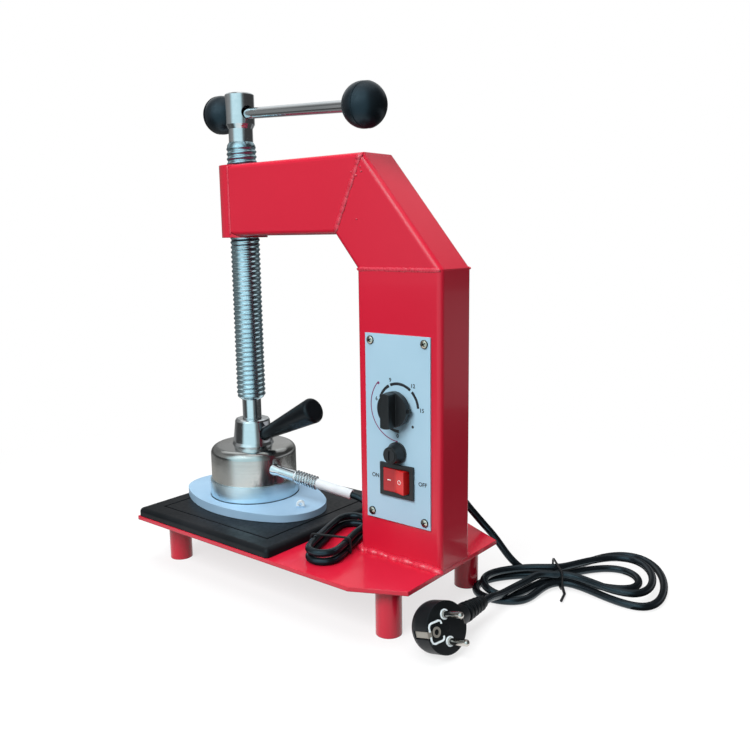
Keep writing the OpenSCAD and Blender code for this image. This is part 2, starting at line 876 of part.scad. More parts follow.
mains_points = concat(spline(concat([mains_exit - [0, 8, 0]], mains_route,
    [hank_points[0] - 2 * cord_d * hank_along + [0, 0, 0.6], hank_points[0]]), 2));
tail_points = spline(concat([hank_end, hank_end - 2 * cord_d * hank_along], tail_route,
    [relief_end + 2 * cord_d * relief_along, relief_end, relief_end - (relief_bore - 2) * relief_along]), 2);
echo(tail_to_mains_hank = gap_between(inner_points(tail_points, 2, 0), inner_points(hank_points, 0, 6), cord_d));
echo(mains_hank_gap = least_gap(hank_mid, cord_d, 8), mains_hank_length = route_length(hank_points),
     mains_lead_length = route_length(mains_points), mains_tail_length = route_length(tail_points));

module mains_cord_lead() {
    color("#18181a")
        tube(mains_points, cord_d, 8, [0.3, 0.1, 1]);
}

module mains_cord_hank() {
    color("#18181a")
        tube(hank_points, cord_d, loop_sides);
}

module mains_cord_tail() {
    color("#18181a")
        tube(tail_points, cord_d, 8);
}

// Twisted wire tie round the hank's waist
module hank_tie() {
    wide = 2 * (hank_waist[1] + cord_d / 2 + gap + tie_wire) - 1.6;
    tall = hank_layer + cord_d + 2 * (gap + tie_wire);
    color("#101012")
        translate([hank_at.x, hank_at.y, 0])
            rotate([0, 0, hank_turn])
                union() {
                    translate([0, 0.8, hank_z + tie_lift - cord_d / 2 - gap - tie_wire + tall / 2])
                        rotate([90, 0, 90])
                            linear_extrude(tie_wire, center = true)
                                difference() {
                                    rounded_rect(wide, tall, 4);
                                    rounded_rect(wide - 2 * tie_wire, tall - 2 * tie_wire, 3);
                                }
                    translate([0, 0.8 - wide / 2 + tie_wire / 2, 5])
                        rotate([115, 0, 0])
                            cylinder(9, d = 2.4);
                    translate([0, -wide / 2 - 7.2, 1.8])
                        rotate([88, 0, -25])
                            cylinder(15, d = 2.2);
                }
}

// Plug: local +Z is the way its pins point, and local +Y is the way its cord leaves
module on_plug() {
    translate(plug_at)
        rotate([0, 0, plug_turn])
            rotate([0, 90 - plug_tilt, 0])
                children();
}

// Local +Z along the strain relief on the plug's side
module on_relief() {
    translate([0, relief_at, -plug_depth / 2])
        rotate([-90 - relief_bend, 0, 0])
            children();
}

module plug_body() {
    round_r = 12;
    color("#161618")
        on_plug()
            difference() {
                union() {
                    rotate_extrude()
                        union() {
                            translate([0, round_r - plug_depth])
                                square([plug_d / 2, plug_depth - round_r]);
                            translate([0, -plug_depth])
                                square([plug_d / 2 - round_r, plug_depth]);
                            intersection() {
                                translate([plug_d / 2 - round_r, round_r - plug_depth])
                                    circle(round_r);
                                translate([0, -plug_depth])
                                    square([plug_d / 2, plug_depth]);
                            }
                        }
                    on_relief() {
                        translate([0, 0, -10])
                            cylinder(10 + relief_neck, d1 = 20, d2 = 15);
                        translate([0, 0, relief_neck - e])
                            cylinder(relief_l + e, d1 = 12, d2 = cord_d + 3);
                        for (i = [0:4])
                            translate([0, 0, relief_neck + 3 + 5 * i])
                                cylinder(2.8, d = 15 - 0.9 * i);
                    }
                }
                on_relief()
                    translate([0, 0, relief_neck + relief_l - relief_bore])
                        cylinder(relief_bore + 1, d = cord_d + 2 * fit);
                for (s = [-1, 1])
                    translate([s * pin_span / 2, 0, -9])
                        cylinder(10, d = pin_d);
                for (s = [-1, 1])
                    translate([-2.8, s > 0 ? plug_d / 2 - 2 : -plug_d / 2 - 1, -14])
                        cube([5.6, 3, 15]);
                translate([0, 0, -4])
                    cylinder(5, d = 5.4);
            }
}

module plug_pins() {
    color("silver")
        on_plug()
            for (s = [-1, 1])
                translate([s * pin_span / 2, 0, -9])
                    union() {
                        cylinder(9 + pin_l - pin_d / 2, d = pin_d);
                        translate([0, 0, 9 + pin_l - pin_d / 2])
                            sphere(d = pin_d);
                    }
}

module plug_earth_clips() {
    color("silver")
        on_plug()
            for (s = [-1, 1])
                translate([-2.2, s * (plug_d / 2 - 1.5) - 0.5, -13.6])
                    cube([4.4, 1, 13]);
}

// Heating head
module at_spindle(z) {
    translate([spindle_x, 0, z])
        children();
}

// Oval of two end arcs and two side arcs that meet smoothly
module oval(l, w) {
    end_r = 0.235 * l;
    a = l / 2 - end_r;
    side_c = (a * a - pow(w / 2 - end_r, 2)) / (w - 2 * end_r);
    side_r = w / 2 + side_c;
    touch = a * side_r / (side_r - end_r);
    rise = side_c * end_r / (side_r - end_r);
    for (s = [-1, 1])
        translate([s * a, 0])
            circle(end_r, $fn = 96);
    intersection() {
        translate([0, -side_c])
            circle(side_r, $fn = 96);
        translate([0, side_c])
            circle(side_r, $fn = 96);
        square([2 * touch, 2 * (w / 2 + rise)], center = true);
    }
}

module heating_shoe() {
    lug_r = 3.6;
    lug_t = 2.6;
    seat_r = heater_d / 2 + recess_gap;
    slope = shoe_crown / (shoe_l / 2 - seat_r);
    color("#aeb8c4")
        at_spindle(shoe_z) {
            difference() {
                intersection() {
                    rotate(shoe_turn)
                        linear_extrude(shoe_t + shoe_crown + 1)
                            oval(shoe_l, shoe_w);
                    rotate_extrude()
                        polygon([[0, 0], [shoe_l, 0], [shoe_l, shoe_t - slope * shoe_l / 2],
                                 [seat_r, shoe_t + shoe_crown], [0, shoe_t + shoe_crown]]);
                }
                translate([0, 0, shoe_t + shoe_crown - recess])
                    cylinder(recess + 1, r = seat_r);
                for (i = [0:2])
                    rotate(120 * i + 90)
                        translate([heater_d / 2 - shoe_screw_inset, 0, -1]) {
                            cylinder(shoe_t + 2, d = 4.5);
                            cylinder(3.6, d = 8.5);
                        }
            }
            rotate(shoe_turn)
                translate([shoe_l / 2 - 13.5, -3, shoe_t - e])
                    rotate([0, 0, 45])
                        rotate([90, 0, 0])
                            linear_extrude(lug_t, center = true)
                                difference() {
                                    union() {
                                        translate([0, lug_r])
                                            circle(lug_r);
                                        translate([-lug_r, 0])
                                            square([2 * lug_r, lug_r]);
                                    }
                                    translate([0, lug_r + 0.2])
                                        circle(1.7);
                                }
        }
}

module shoe_screws() {
    color("silver")
        at_spindle(shoe_z)
            for (i = [0:2])
                rotate(120 * i + 90)
                    translate([heater_d / 2 - shoe_screw_inset, 0, 0]) {
                        translate([0, 0, gap])
                            cylinder(2.3, d = 8);
                        cylinder(shoe_t + shoe_crown - recess + 8, d = 4);
                    }
}

module heater_body() {
    color("#a9b2ba")
        at_spindle(shoe_top - recess)
            difference() {
                union() {
                    cylinder(recess + heater_show, d = heater_d);
                    cylinder(recess + heater_show + spigot_h, r = cap_in_r - fit);
                }
                for (i = [0:2])
                    rotate(120 * i + 90)
                        translate([heater_d / 2 - shoe_screw_inset, 0, -1])
                            cylinder(10, d = 4.2);
            }
}

module heating_element() {
    color("#6a5a4a")
        at_spindle(spigot_top)
            difference() {
                cylinder(element_h, d = element_d);
                translate([0, 0, -1])
                    cylinder(element_h + 2, d = post_d + 2);
            }
}

module insulation_disc() {
    color("gainsboro")
        at_spindle(spigot_top + element_h)
            difference() {
                cylinder(insulation_h, d = element_d);
                translate([0, 0, -1])
                    cylinder(insulation_h + 2, d = post_d + 2);
            }
}

// Post that carries the press force from the cap's crown to the heater body
module pressure_post() {
    color("silver")
        at_spindle(spigot_top)
            cylinder(collar_z - crown_t - spigot_top, d = post_d);
}

module thermostat() {
    color("#3a3a3c")
        at_spindle(spigot_top + element_h + insulation_h)
            translate([-20, 8, 0])
                union() {
                    cylinder(4, d = 17);
                    cylinder(8, d = 12);
                }
}

// Section of the cap from its rim to the collar's seat
module cap_section(r, drop) {
    foot = collar_foot_d / 2;
    square([r, cap_side]);
    square([r - cap_r, cap_side + cap_r - drop]);
    intersection() {
        translate([r - cap_r, cap_side - drop])
            circle(cap_r);
        square([r, cap_side + cap_r]);
    }
    polygon([[0, cap_side], [r - cap_r, cap_side + cap_r - drop], [foot, cap_side + cap_r + cap_dome - drop],
             [0, cap_side + cap_r + cap_dome - drop]]);
}

module heater_cap() {
    color("#c8c4bc")
        at_spindle(cap_z)
            difference() {
                rotate_extrude()
                    cap_section(cap_d / 2, 0);
                translate([0, 0, -e])
                    rotate_extrude()
                        cap_section(cap_in_r, crown_t);
                rotate([0, 0, gland_turn])
                    translate([cap_d / 2 - 3, 0, gland_z - cap_z])
                        rotate([0, 90, 0])
                            cylinder(6, d = 7);
            }
}

module spindle_collar() {
    foot = collar_foot_d / 2;
    top = collar_top_d / 2;
    round_r = 2;
    color("#c4c6c8")
        at_spindle(collar_z)
            difference() {
                rotate_extrude()
                    polygon([[0, 0], [foot, 0], [foot - 1, 2.6], [top + 0.3, collar_h - round_r],
                             [top - 0.4, collar_h - 0.6], [top - round_r, collar_h], [0, collar_h]]);
                translate([0, 0, collar_floor])
                    cylinder(collar_h, d = swivel_d + 2 * swivel_gap);
                on_handle()
                    translate([0, 0, grip_root - stud_deep])
                        cylinder(stud_deep + 10, d = stud_d + 2 * fit);
                on_handle()
                    translate([0, 0, grip_root - gap])
                        cylinder(far, d = grip_seat_d);
                translate([0, 0, retainer_z - collar_z - fit])
                    cylinder(retainer_h + 2 * fit, d = swivel_d + 5);
            }
}

// Split ring that keeps the spindle's tip in the collar
module spindle_retainer() {
    color("dimgray")
        at_spindle(retainer_z)
            difference() {
                cylinder(retainer_h, d = swivel_d + 5 - 2 * fit);
                translate([0, 0, -1])
                    cylinder(retainer_h + 2, d = groove_core_d + 2 * swivel_gap);
                translate([-far / 2, -1, -1])
                    cube([far / 2, 2, retainer_h + 2]);
            }
}

// Local +Z along the handle, from the spindle's axis at the collar's foot
module on_handle() {
    translate([0, 0, grip_z - collar_z])
        rotate([0, 0, grip_turn])
            rotate([0, 90 - grip_tilt, 0])
                children();
}

module handle_stud() {
    color("silver")
        at_spindle(collar_z)
            on_handle()
                translate([0, 0, grip_root - stud_deep + gap])
                    cylinder(stud_deep + stud_in - gap, d = stud_d);
}

module handle_grip() {
    end_r = 3.5;
    r = grip_d / 2;
    color("#1d1d20")
        at_spindle(collar_z)
            on_handle()
                translate([0, 0, grip_root])
                    difference() {
                        rotate_extrude()
                            union() {
                                polygon([[0, 0], [grip_thin_d / 2 - 1, 0], [grip_thin_d / 2, 1],
                                         [r, grip_l - end_r], [0, grip_l - end_r]]);
                                translate([0, grip_l - end_r - e])
                                    square([r - end_r, end_r + e]);
                                intersection() {
                                    translate([r - end_r, grip_l - end_r])
                                        circle(end_r);
                                    translate([0, grip_l - end_r])
                                        square([r, end_r]);
                                }
                            }
                        translate([0, 0, -1])
                            cylinder(stud_in + 1.6, d = stud_d + 2 * fit);
                    }
}

// Lead: local +Z along the lead from the cap's side
module on_lead(z) {
    translate([spindle_x + gland_root[0], gland_root[1], gland_z])
        rotate([0, 0, lead_turn])
            rotate([0, 90 + lead_tilt, 0])
                translate([0, 0, z])
                    children();
}

module lead_gland() {
    color("silver")
        difference() {
            union() {
                on_lead(gland_cone)
                    cylinder(gland_l, d = gland_d);
                on_lead(-2)
                    cylinder(gland_cone + 2.5, d1 = 12, d2 = gland_d - 1.5);
            }
            at_spindle(cap_z)
                rotate_extrude()
                    cap_section(cap_d / 2 + fit, 0);
            on_lead(gland_cone - 1)
                cylinder(gland_l + 10, d = sleeve_d - 1.6);
            on_lead(sleeve_at)
                cylinder(20, d = sleeve_d + 2 * fit);
        }
}

spring_mid = (spring_d - spring_wire) / 2;
function spring_point(t) =
    [spring_mid * cos(360 * t), spring_mid * sin(360 * t), spring_wire + spring_pitch * t];
spring_turns = [for (i = [0:8 * spring_curls]) spring_point(i / 8)];
spring_last = spring_turns[len(spring_turns) - 1];
spring_points = concat([spring_turns[0] - [0, spring_wire, 0]], spring_turns, [spring_last + [0, spring_wire, 0]]);
echo(spring_gap = least_gap(spring_turns, spring_wire, 5));

module gland_spring() {
    color("gainsboro")
        on_lead(spring_at - spring_wire / 2 + 0.2)
            tube(spring_points, spring_wire, 6);
}

module lead_sleeve() {
    color("whitesmoke")
        on_lead(sleeve_at)
            difference() {
                cylinder(sleeve_end - sleeve_at, d = sleeve_d);
                translate([0, 0, -1])
                    cylinder(sleeve_end, d = lead_d + 2 * fit);
            }
}

lead_along = [cos(lead_turn) * cos(lead_tilt), sin(lead_turn) * cos(lead_tilt), -sin(lead_tilt)];
lead_mouth = [spindle_x + gland_root[0], gland_root[1], gland_z] + sleeve_end * lead_along;
function sign_like(c) = c / sqrt(c * c + 0.05);
function lead_hank_point(a) =
    let (u = -(lead_hank_r * cos(a) + lead_hank_run * sign_like(cos(a))), v = lead_hank_r * sin(a),
         z = lead_hank_z + lead_hank_layer * (1 - smooth((a - 390) / 60)))
    [lead_hank_at.x + u * cos(lead_hank_turn) - v * sin(lead_hank_turn),
     lead_hank_at.y + u * sin(lead_hank_turn) + v * cos(lead_hank_turn), z];
lead_hank_first = 90;
lead_hank_mid = [for (a = [lead_hank_first:15:720]) lead_hank_point(a)];
lead_hank_start = unit(lead_hank_mid[0] - lead_hank_mid[1]);
lead_hank_leave = [-sin(lead_hank_turn), cos(lead_hank_turn), 0];
lead_hank_points = concat([lead_hank_mid[0] + lead_d * lead_hank_start], lead_hank_mid,
    [lead_hank_mid[len(lead_hank_mid) - 1] + lead_d * lead_hank_leave]);
lead_hank_end = lead_hank_points[len(lead_hank_points) - 1];
lead_points = spline(concat([lead_mouth - lead_in * lead_along, lead_mouth], lead_route,
    [lead_hank_points[0]]), 2);
lead_tail_points = spline(concat([lead_hank_end], lead_tail_route,
    [grommet_at - [7, 0, 0], grommet_at - [2.5, 0, 0], grommet_at + [2, 0, 0]]), 2);
echo(lead_hank_gap = least_gap(lead_hank_mid, lead_d, 8), lead_hank_length = route_length(lead_hank_points),
     lead_length = route_length(lead_points), lead_tail_length = route_length(lead_tail_points),
     lead_to_hank = gap_between(inner_points(lead_points, 0, 3), inner_points(lead_hank_points, 4, 0), lead_d),
     tail_to_hank = gap_between(inner_points(lead_tail_points, 2, 0), inner_points(lead_hank_points, 0, 4), lead_d),
     lead_to_tail = gap_between(lead_points, lead_tail_points, lead_d));

module heater_lead() {
    color("#18181a")
        tube(lead_points, lead_d, 8, [0.2, 1, 0.3]);
}

module heater_lead_hank() {
    color("#18181a")
        tube(lead_hank_points, lead_d, loop_sides);
}

module heater_lead_tail() {
    color("#18181a")
        tube(lead_tail_points, lead_d, 8);
}

// Wire tie round the four strands of the lead's hank
module lead_tie() {
    wide = 2 * (lead_hank_r + lead_d / 2 + gap + tie_wire);
    tall = lead_hank_layer + lead_d + 2 * gap + tie_wire;
    along = lead_hank_run * 0.55;
    color("#101012")
        translate([lead_hank_at.x, lead_hank_at.y, plate_top])
            rotate([0, 0, lead_hank_turn])
                translate([along, 0, tall / 2])
                    rotate([90, 0, 90])
                        linear_extrude(tie_wire, center = true)
                            difference() {
                                rounded_rect(wide, tall, 3);
                                translate([0, -tie_wire])
                                    rounded_rect(wide - 2 * tie_wire, tall, 2);
                            }
}

// Spindle
// Point k of the thread's side at step i of a turn: roots and crests take turns up the helix
function thread_point(i, k) =
    let (r = thread_d / 2 - (k % 2 == 0 ? thread_depth : 0), a = 360 * i / thread_sides)
    [r * cos(a), r * sin(a), thread_pitch * (k / 2 + i / thread_sides)];
thread_rows = 2 * (thread_turns - 2);
function thread_id(i, k) =
    i == thread_sides ? thread_id(0, k + 2) : i == 0 ? k : thread_rows + 3 + (i - 1) * (thread_rows + 1) + k;
thread_count = thread_id(thread_sides - 1, thread_rows) + 1;

module thread() {
    n = thread_sides;
    root_r = thread_d / 2 - thread_depth;
    low_z = -thread_pitch / 2;
    high_z = thread_pitch * (thread_rows / 2 + 1.5);
    side = concat([for (k = [0:thread_rows + 2]) thread_point(0, k)],
                  [for (i = [1:n - 1]) for (k = [0:thread_rows]) thread_point(i, k)]);
    low_ring = [for (i = [0:n - 1]) [root_r * cos(360 * i / n), root_r * sin(360 * i / n), low_z]];
    high_ring = [for (p = low_ring) [p.x, p.y, high_z]];
    low_id = thread_count;
    high_id = thread_count + n;
    walls = [for (i = [0:n - 1]) for (k = [0:thread_rows - 1])
        let (a = thread_id(i, k), b = thread_id(i + 1, k), c = thread_id(i + 1, k + 1), d = thread_id(i, k + 1))
        each [[a, d, c], [a, c, b]]];
    low_skirt = [for (i = [0:n - 1])
        let (a = low_id + i, b = low_id + (i + 1) % n, c = thread_id(i, 0), d = thread_id(i + 1, 0))
        each i < n - 1 ? [[a, c, d], [a, d, b]] : [[a, c, d], [a, d, thread_id(0, 0)], [a, thread_id(0, 0), b]]];
    high_skirt = [for (i = [0:n - 1])
        let (a = high_id + i, b = high_id + (i + 1) % n, c = thread_id(i, thread_rows),
             d = thread_id(i + 1, thread_rows), top = thread_id(0, thread_rows + 2))
        each i > 0 ? [[a, d, c], [a, b, d]] : [[top, d, c], [a, d, top], [a, b, d]]];
    steps = [[thread_id(0, 0), thread_id(0, 2), thread_id(0, 1)],
             [thread_id(0, thread_rows + 2), thread_id(0, thread_rows), thread_id(0, thread_rows + 1)]];
    caps = concat([for (i = [1:n - 2]) [low_id, low_id + i, low_id + i + 1]],
                  [for (i = [1:n - 2]) [high_id, high_id + i + 1, high_id + i]]);
    polyhedron(concat(side, low_ring, high_ring),
               concat(walls, low_skirt, high_skirt, steps, caps));
}

module spindle_screw() {
    color("#c2c8cc")
        at_spindle(thread_z + thread_pitch / 2)
            thread();
}

// Neck and cross bored head above the thread
module spindle_head() {
    color("#c2c8cc")
        at_spindle(neck_z)
            difference() {
                union() {
                    cylinder(neck_l - taper_h, d = neck_d);
                    translate([0, 0, neck_l - taper_h])
                        cylinder(taper_h, d1 = neck_d, d2 = head_d);
                    translate([0, 0, neck_l])
                        cylinder(head_h - head_edge, d = head_d);
                    translate([0, 0, neck_l + head_h - head_edge])
                        cylinder(head_edge, d1 = head_d, d2 = head_d - 2 * head_edge);
                }
                translate([0, 0, bar_z - neck_z])
                    rotate([0, 0, bar_turn])
                        rotate([0, 90, 0])
                            cylinder(2 * head_d, d = bar_hole_d, center = true);
            }
}

// Grooved pin below the thread that turns in the collar
module swivel_pin() {
    color("#c2c8cc")
        at_spindle(swivel_low)
            difference() {
                cylinder(thread_z - swivel_low, d = swivel_d);
                translate([0, 0, retainer_z - swivel_low - gap])
                    difference() {
                        cylinder(retainer_h + 2 * gap, d = swivel_d + 1);
                        translate([0, 0, -1])
                            cylinder(retainer_h + 2, d = groove_core_d);
                    }
            }
}

// Local +Z along the tommy bar towards its far knob
module on_bar() {
    at_spindle(bar_z)
        rotate([0, 0, bar_turn])
            rotate([0, 90 + bar_droop, 0])
                children();
}

module tommy_bar() {
    color("#c8ccd0")
        on_bar()
            translate([0, 0, -knob_face - knob_sock])
                cylinder(bar_free + 2 * knob_sock, d = bar_d);
}

// Ball cut flat at the bar's side, with a seam round its middle
module ball_knob() {
    r = knob_d / 2;
    centre = knob_l - r;
    seam_w = 0.9;
    seam_deep = 0.5;
    difference() {
        rotate_extrude()
            difference() {
                translate([0, centre])
                    circle(r);
                translate([-r, 0])
                    square([r, knob_l + r]);
                translate([-r, -r])
                    square([3 * r, r]);
                translate([r - seam_deep, centre])
                    square([seam_deep + 1, seam_w]);
            }
        translate([0, 0, -1])
            cylinder(knob_sock + 1.4, d = bar_d + 0.02);
    }
}

module bar_knobs() {
    color("#141416")
        on_bar() {
            translate([0, 0, bar_free - knob_face])
                ball_knob();
            translate([0, 0, -knob_face])
                rotate([180, 0, 0])
                    ball_knob();
        }
}

base_plate();
feet();
column_tube();
brace_tube();
arm_tube();
spindle_nut();
weld_base();
weld_column();
weld_arm();
weld_nut();
bed_pad();
control_panel();
panel_screws();
timer_body();
fuse_holder();
switch_housing();
terminal_block();
internal_wires();
lead_grommet();
mains_gland();
mains_cord_lead();
mains_cord_hank();
mains_cord_tail();
hank_tie();
plug_body();
plug_pins();
plug_earth_clips();
heater_lead();
heater_lead_hank();
heater_lead_tail();
lead_tie();
heating_shoe();
shoe_screws();
heater_body();
heating_element();
insulation_disc();
pressure_post();
thermostat();
heater_cap();
spindle_collar();
spindle_retainer();
handle_stud();
handle_grip();
lead_gland();
gland_spring();
lead_sleeve();
spindle_screw();
spindle_head();
swivel_pin();
tommy_bar();
bar_knobs();
timer_shaft();
timer_knob();
rocker();
fuse_cap();
fuse_tube();
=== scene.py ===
import math

import bmesh
import bpy
from mathutils import Matrix, Vector


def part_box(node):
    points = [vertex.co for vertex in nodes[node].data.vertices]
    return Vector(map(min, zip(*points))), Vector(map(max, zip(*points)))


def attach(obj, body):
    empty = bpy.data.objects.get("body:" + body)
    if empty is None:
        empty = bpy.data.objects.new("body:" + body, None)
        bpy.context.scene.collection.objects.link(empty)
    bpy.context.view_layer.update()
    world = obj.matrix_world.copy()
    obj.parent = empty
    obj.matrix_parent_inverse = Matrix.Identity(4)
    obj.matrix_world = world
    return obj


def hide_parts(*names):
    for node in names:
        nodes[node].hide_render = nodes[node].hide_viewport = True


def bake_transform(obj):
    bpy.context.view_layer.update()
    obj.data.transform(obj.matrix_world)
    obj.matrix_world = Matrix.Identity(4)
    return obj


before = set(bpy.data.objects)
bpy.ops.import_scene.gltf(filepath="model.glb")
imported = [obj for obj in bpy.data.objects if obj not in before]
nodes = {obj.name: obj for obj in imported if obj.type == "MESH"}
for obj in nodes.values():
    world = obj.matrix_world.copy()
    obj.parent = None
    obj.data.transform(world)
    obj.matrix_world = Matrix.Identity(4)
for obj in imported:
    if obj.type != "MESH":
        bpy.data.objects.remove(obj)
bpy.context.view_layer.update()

# Camera: a phone held a little above the bench, off the press's front right corner.
# Its place, tilt and lens come from the plate's corners, the tube edges and the panel in the photo.
def placed(name, data):
    made = bpy.data.objects.new(name, data)
    bpy.context.scene.collection.objects.link(made)
    return made


turn, climb, roll = math.radians(38.992), math.radians(10.05), math.radians(-0.8217)
back = Vector((math.sin(turn) * math.cos(climb), -math.cos(turn) * math.cos(climb), math.sin(climb)))
level = Vector((math.cos(turn), math.sin(turn), 0))
upward = back.cross(level)
side = level * math.cos(roll) + upward * math.sin(roll)
top = upward * math.cos(roll) - level * math.sin(roll)
lens = bpy.data.cameras.new("bench_camera")
lens.sensor_width = 36
lens.lens = 38.68
lens.shift_x = 0.00488
lens.shift_y = 0.00355
camera = placed("bench_camera", lens)
camera.matrix_world = Matrix((side, top, back)).transposed().to_4x4()
camera.location = (0.47024, -0.49441, 0.29231)
bpy.context.scene.camera = camera

# Studio: a pale paper floor that fades to white, under soft lamps, in a white surround.
# A dim room with one bright window, which only reflections see, stands round the press for its plating to mirror.
bpy.context.scene.view_settings.view_transform = "Standard"


def link(tree, source, target):
    tree.links.new(source, target)


def node(tree, kind, values=None, **settings):
    made = tree.nodes.new(kind)
    for key, value in settings.items():
        setattr(made, key, value)
    for key, value in (values or {}).items():
        made.inputs[key].default_value = value
    return made


def sum_up(tree, operation, first, second):
    made = node(tree, "ShaderNodeMath", operation=operation)
    for socket, value in zip(made.inputs, (first, second)):
        if isinstance(value, (int, float)):
            socket.default_value = value
        else:
            link(tree, value, socket)
    return made.outputs[0]


def object_place(tree):
    return node(tree, "ShaderNodeTexCoord").outputs["Object"]


def seen_directly(tree):
    rays = node(tree, "ShaderNodeLightPath").outputs
    first = sum_up(tree, "MAXIMUM", rays["Is Camera Ray"], rays["Is Glossy Ray"])
    return sum_up(tree, "MAXIMUM", first, rays["Is Transmission Ray"])


def emptied(owner):
    owner.use_nodes = True
    owner.node_tree.nodes.clear()
    return owner.node_tree


def blended(tree, share, first, second, output):
    blend = node(tree, "ShaderNodeMixShader")
    link(tree, share, blend.inputs["Fac"])
    link(tree, first.outputs[0], blend.inputs[1])
    link(tree, second.outputs[0], blend.inputs[2])
    link(tree, blend.outputs[0], node(tree, output).inputs["Surface"])


surround = bpy.data.worlds.new("white_surround")
tree = emptied(surround)
shown = node(tree, "ShaderNodeBackground", {"Color": (1, 1, 1, 1), "Strength": 1.0})
soft = node(tree, "ShaderNodeBackground", {"Color": (0.97, 0.99, 1.0, 1), "Strength": 0.28})
blended(tree, seen_directly(tree), soft, shown, "ShaderNodeOutputWorld")
bpy.context.scene.world = surround

paper = bpy.data.materials.new("paper_floor")
tree = emptied(paper)
sheet = node(tree, "ShaderNodeBsdfDiffuse", {"Color": (0.82, 0.82, 0.82, 1)})
glow = node(tree, "ShaderNodeEmission", {"Color": (1, 1, 1, 1)})
link(tree, seen_directly(tree), glow.inputs["Strength"])
reach = node(tree, "ShaderNodeVectorMath", operation="LENGTH")
link(tree, object_place(tree), reach.inputs[0])
fade = node(tree, "ShaderNodeMapRange", {"From Min": 0.15, "From Max": 0.62, "To Min": 0.72, "To Max": 1.0},
            interpolation_type="SMOOTHSTEP")
link(tree, reach.outputs["Value"], fade.inputs["Value"])
blended(tree, fade.outputs["Result"], sheet, glow, "ShaderNodeOutputMaterial")
floor_mesh = bpy.data.meshes.new("floor")
floor_mesh.from_pydata([(-8, -8, 0), (8, -8, 0), (8, 8, 0), (-8, 8, 0)], [], [(0, 1, 2, 3)])
floor_mesh.materials.append(paper)
floor = placed("floor", floor_mesh)


def ring_faces(rows, sides):
    return [(i * sides + k, i * sides + (k + 1) % sides, (i + 1) * sides + (k + 1) % sides, (i + 1) * sides + k)
            for i in range(rows - 1) for k in range(sides)]


def room_part(name, rings, shades, sides=96):
    material = bpy.data.materials.new(name)
    tree = emptied(material)
    bearing = node(tree, "ShaderNodeTexGradient", gradient_type="RADIAL")
    link(tree, object_place(tree), bearing.inputs["Vector"])
    ramp = node(tree, "ShaderNodeValToRGB")
    ramp.color_ramp.interpolation = "EASE"
    for angle, colour in shades[1:-1]:
        ramp.color_ramp.elements.new(angle / 360 + 0.5)
    for step, (angle, colour) in zip(ramp.color_ramp.elements, shades):
        step.color = (*colour, 1)
    link(tree, bearing.outputs["Fac"], ramp.inputs["Fac"])
    glow = node(tree, "ShaderNodeEmission")
    link(tree, ramp.outputs["Color"], glow.inputs["Color"])
    link(tree, glow.outputs[0], node(tree, "ShaderNodeOutputMaterial").inputs["Surface"])
    turns = [math.tau * k / sides for k in range(sides)]
    mesh = bpy.data.meshes.new(name)
    mesh.from_pydata([(r * math.cos(a), r * math.sin(a), z) for r, z in rings for a in turns], [],
                     ring_faces(len(rings), sides))
    mesh.materials.append(material)
    part = placed(name, mesh)
    part.visible_camera = False
    part.visible_diffuse = False
    part.visible_shadow = False
    part.visible_transmission = False


DIM, WINDOW = (0.05, 0.05, 0.05), (0.66, 0.92, 1.00)
room_part("room_near_floor", ((0.27, 0.0008), (0.40, 0.0008)), (
    (-180, (0.40, 0.39, 0.37)), (-125, (0.42, 0.42, 0.41)), (-100, (0.85, 0.92, 0.94)), (-48, (0.88, 0.95, 0.97)),
    (-22, (0.22, 0.23, 0.23)), (0, (0.08, 0.08, 0.08)), (100, (0.08, 0.08, 0.08)), (150, (0.22, 0.22, 0.21)),
    (180, (0.40, 0.39, 0.37))))
room_part("room_far_floor", ((0.40, 0.0008), (0.85, 0.0008)), (
    (-180, (0.24, 0.24, 0.24)), (-146, (0.10, 0.10, 0.10)), (-124, DIM), (-98, WINDOW), (-46, WINDOW),
    (-20, (0.12, 0.13, 0.13)), (0, DIM), (100, DIM), (150, (0.24, 0.24, 0.24)), (180, (0.24, 0.24, 0.24))))
room_part("room_low_wall", ((0.85, 0.0), (0.85, 0.20)), (
    (-180, (0.12, 0.12, 0.12)), (-150, DIM), (-120, DIM), (-98, WINDOW), (-40, WINDOW),
    (-18, (0.14, 0.15, 0.15)), (10, (0.10, 0.10, 0.10)), (40, (0.42, 0.42, 0.44)), (66, (0.42, 0.42, 0.44)),
    (100, (0.14, 0.14, 0.14)), (132, (0.20, 0.20, 0.20)), (180, (0.08, 0.08, 0.08))))
room_part("room_high_wall", ((0.85, 0.20), (0.85, 0.70)), (
    (-180, (0.18, 0.18, 0.18)), (-132, (0.28, 0.28, 0.28)), (-104, WINDOW), (-42, WINDOW),
    (-18, (0.12, 0.13, 0.13)), (0, DIM), (90, DIM), (132, (0.52, 0.52, 0.52)), (158, (0.20, 0.20, 0.20)),
    (180, (0.18, 0.18, 0.18))))
room_part("room_upper_wall", ((0.85, 0.70), (0.85, 1.55)), (
    (-180, (0.55, 0.55, 0.55)), (-156, (0.14, 0.14, 0.14)), (-130, (0.14, 0.14, 0.14)), (-104, WINDOW),
    (-42, WINDOW), (-18, (0.12, 0.13, 0.13)), (0, DIM), (50, DIM), (80, (0.45, 0.45, 0.46)),
    (124, (0.80, 0.82, 0.83)), (164, (0.80, 0.82, 0.83)), (180, (0.55, 0.55, 0.55))))
room_part("room_roof", ((0.85, 1.55), (0.34, 1.62)), (
    (-180, (0.30, 0.30, 0.30)), (-104, (0.60, 0.64, 0.66)), (-42, (0.60, 0.64, 0.66)), (0, (0.60, 0.60, 0.60)),
    (90, (0.60, 0.60, 0.60)), (180, (0.30, 0.30, 0.30))))


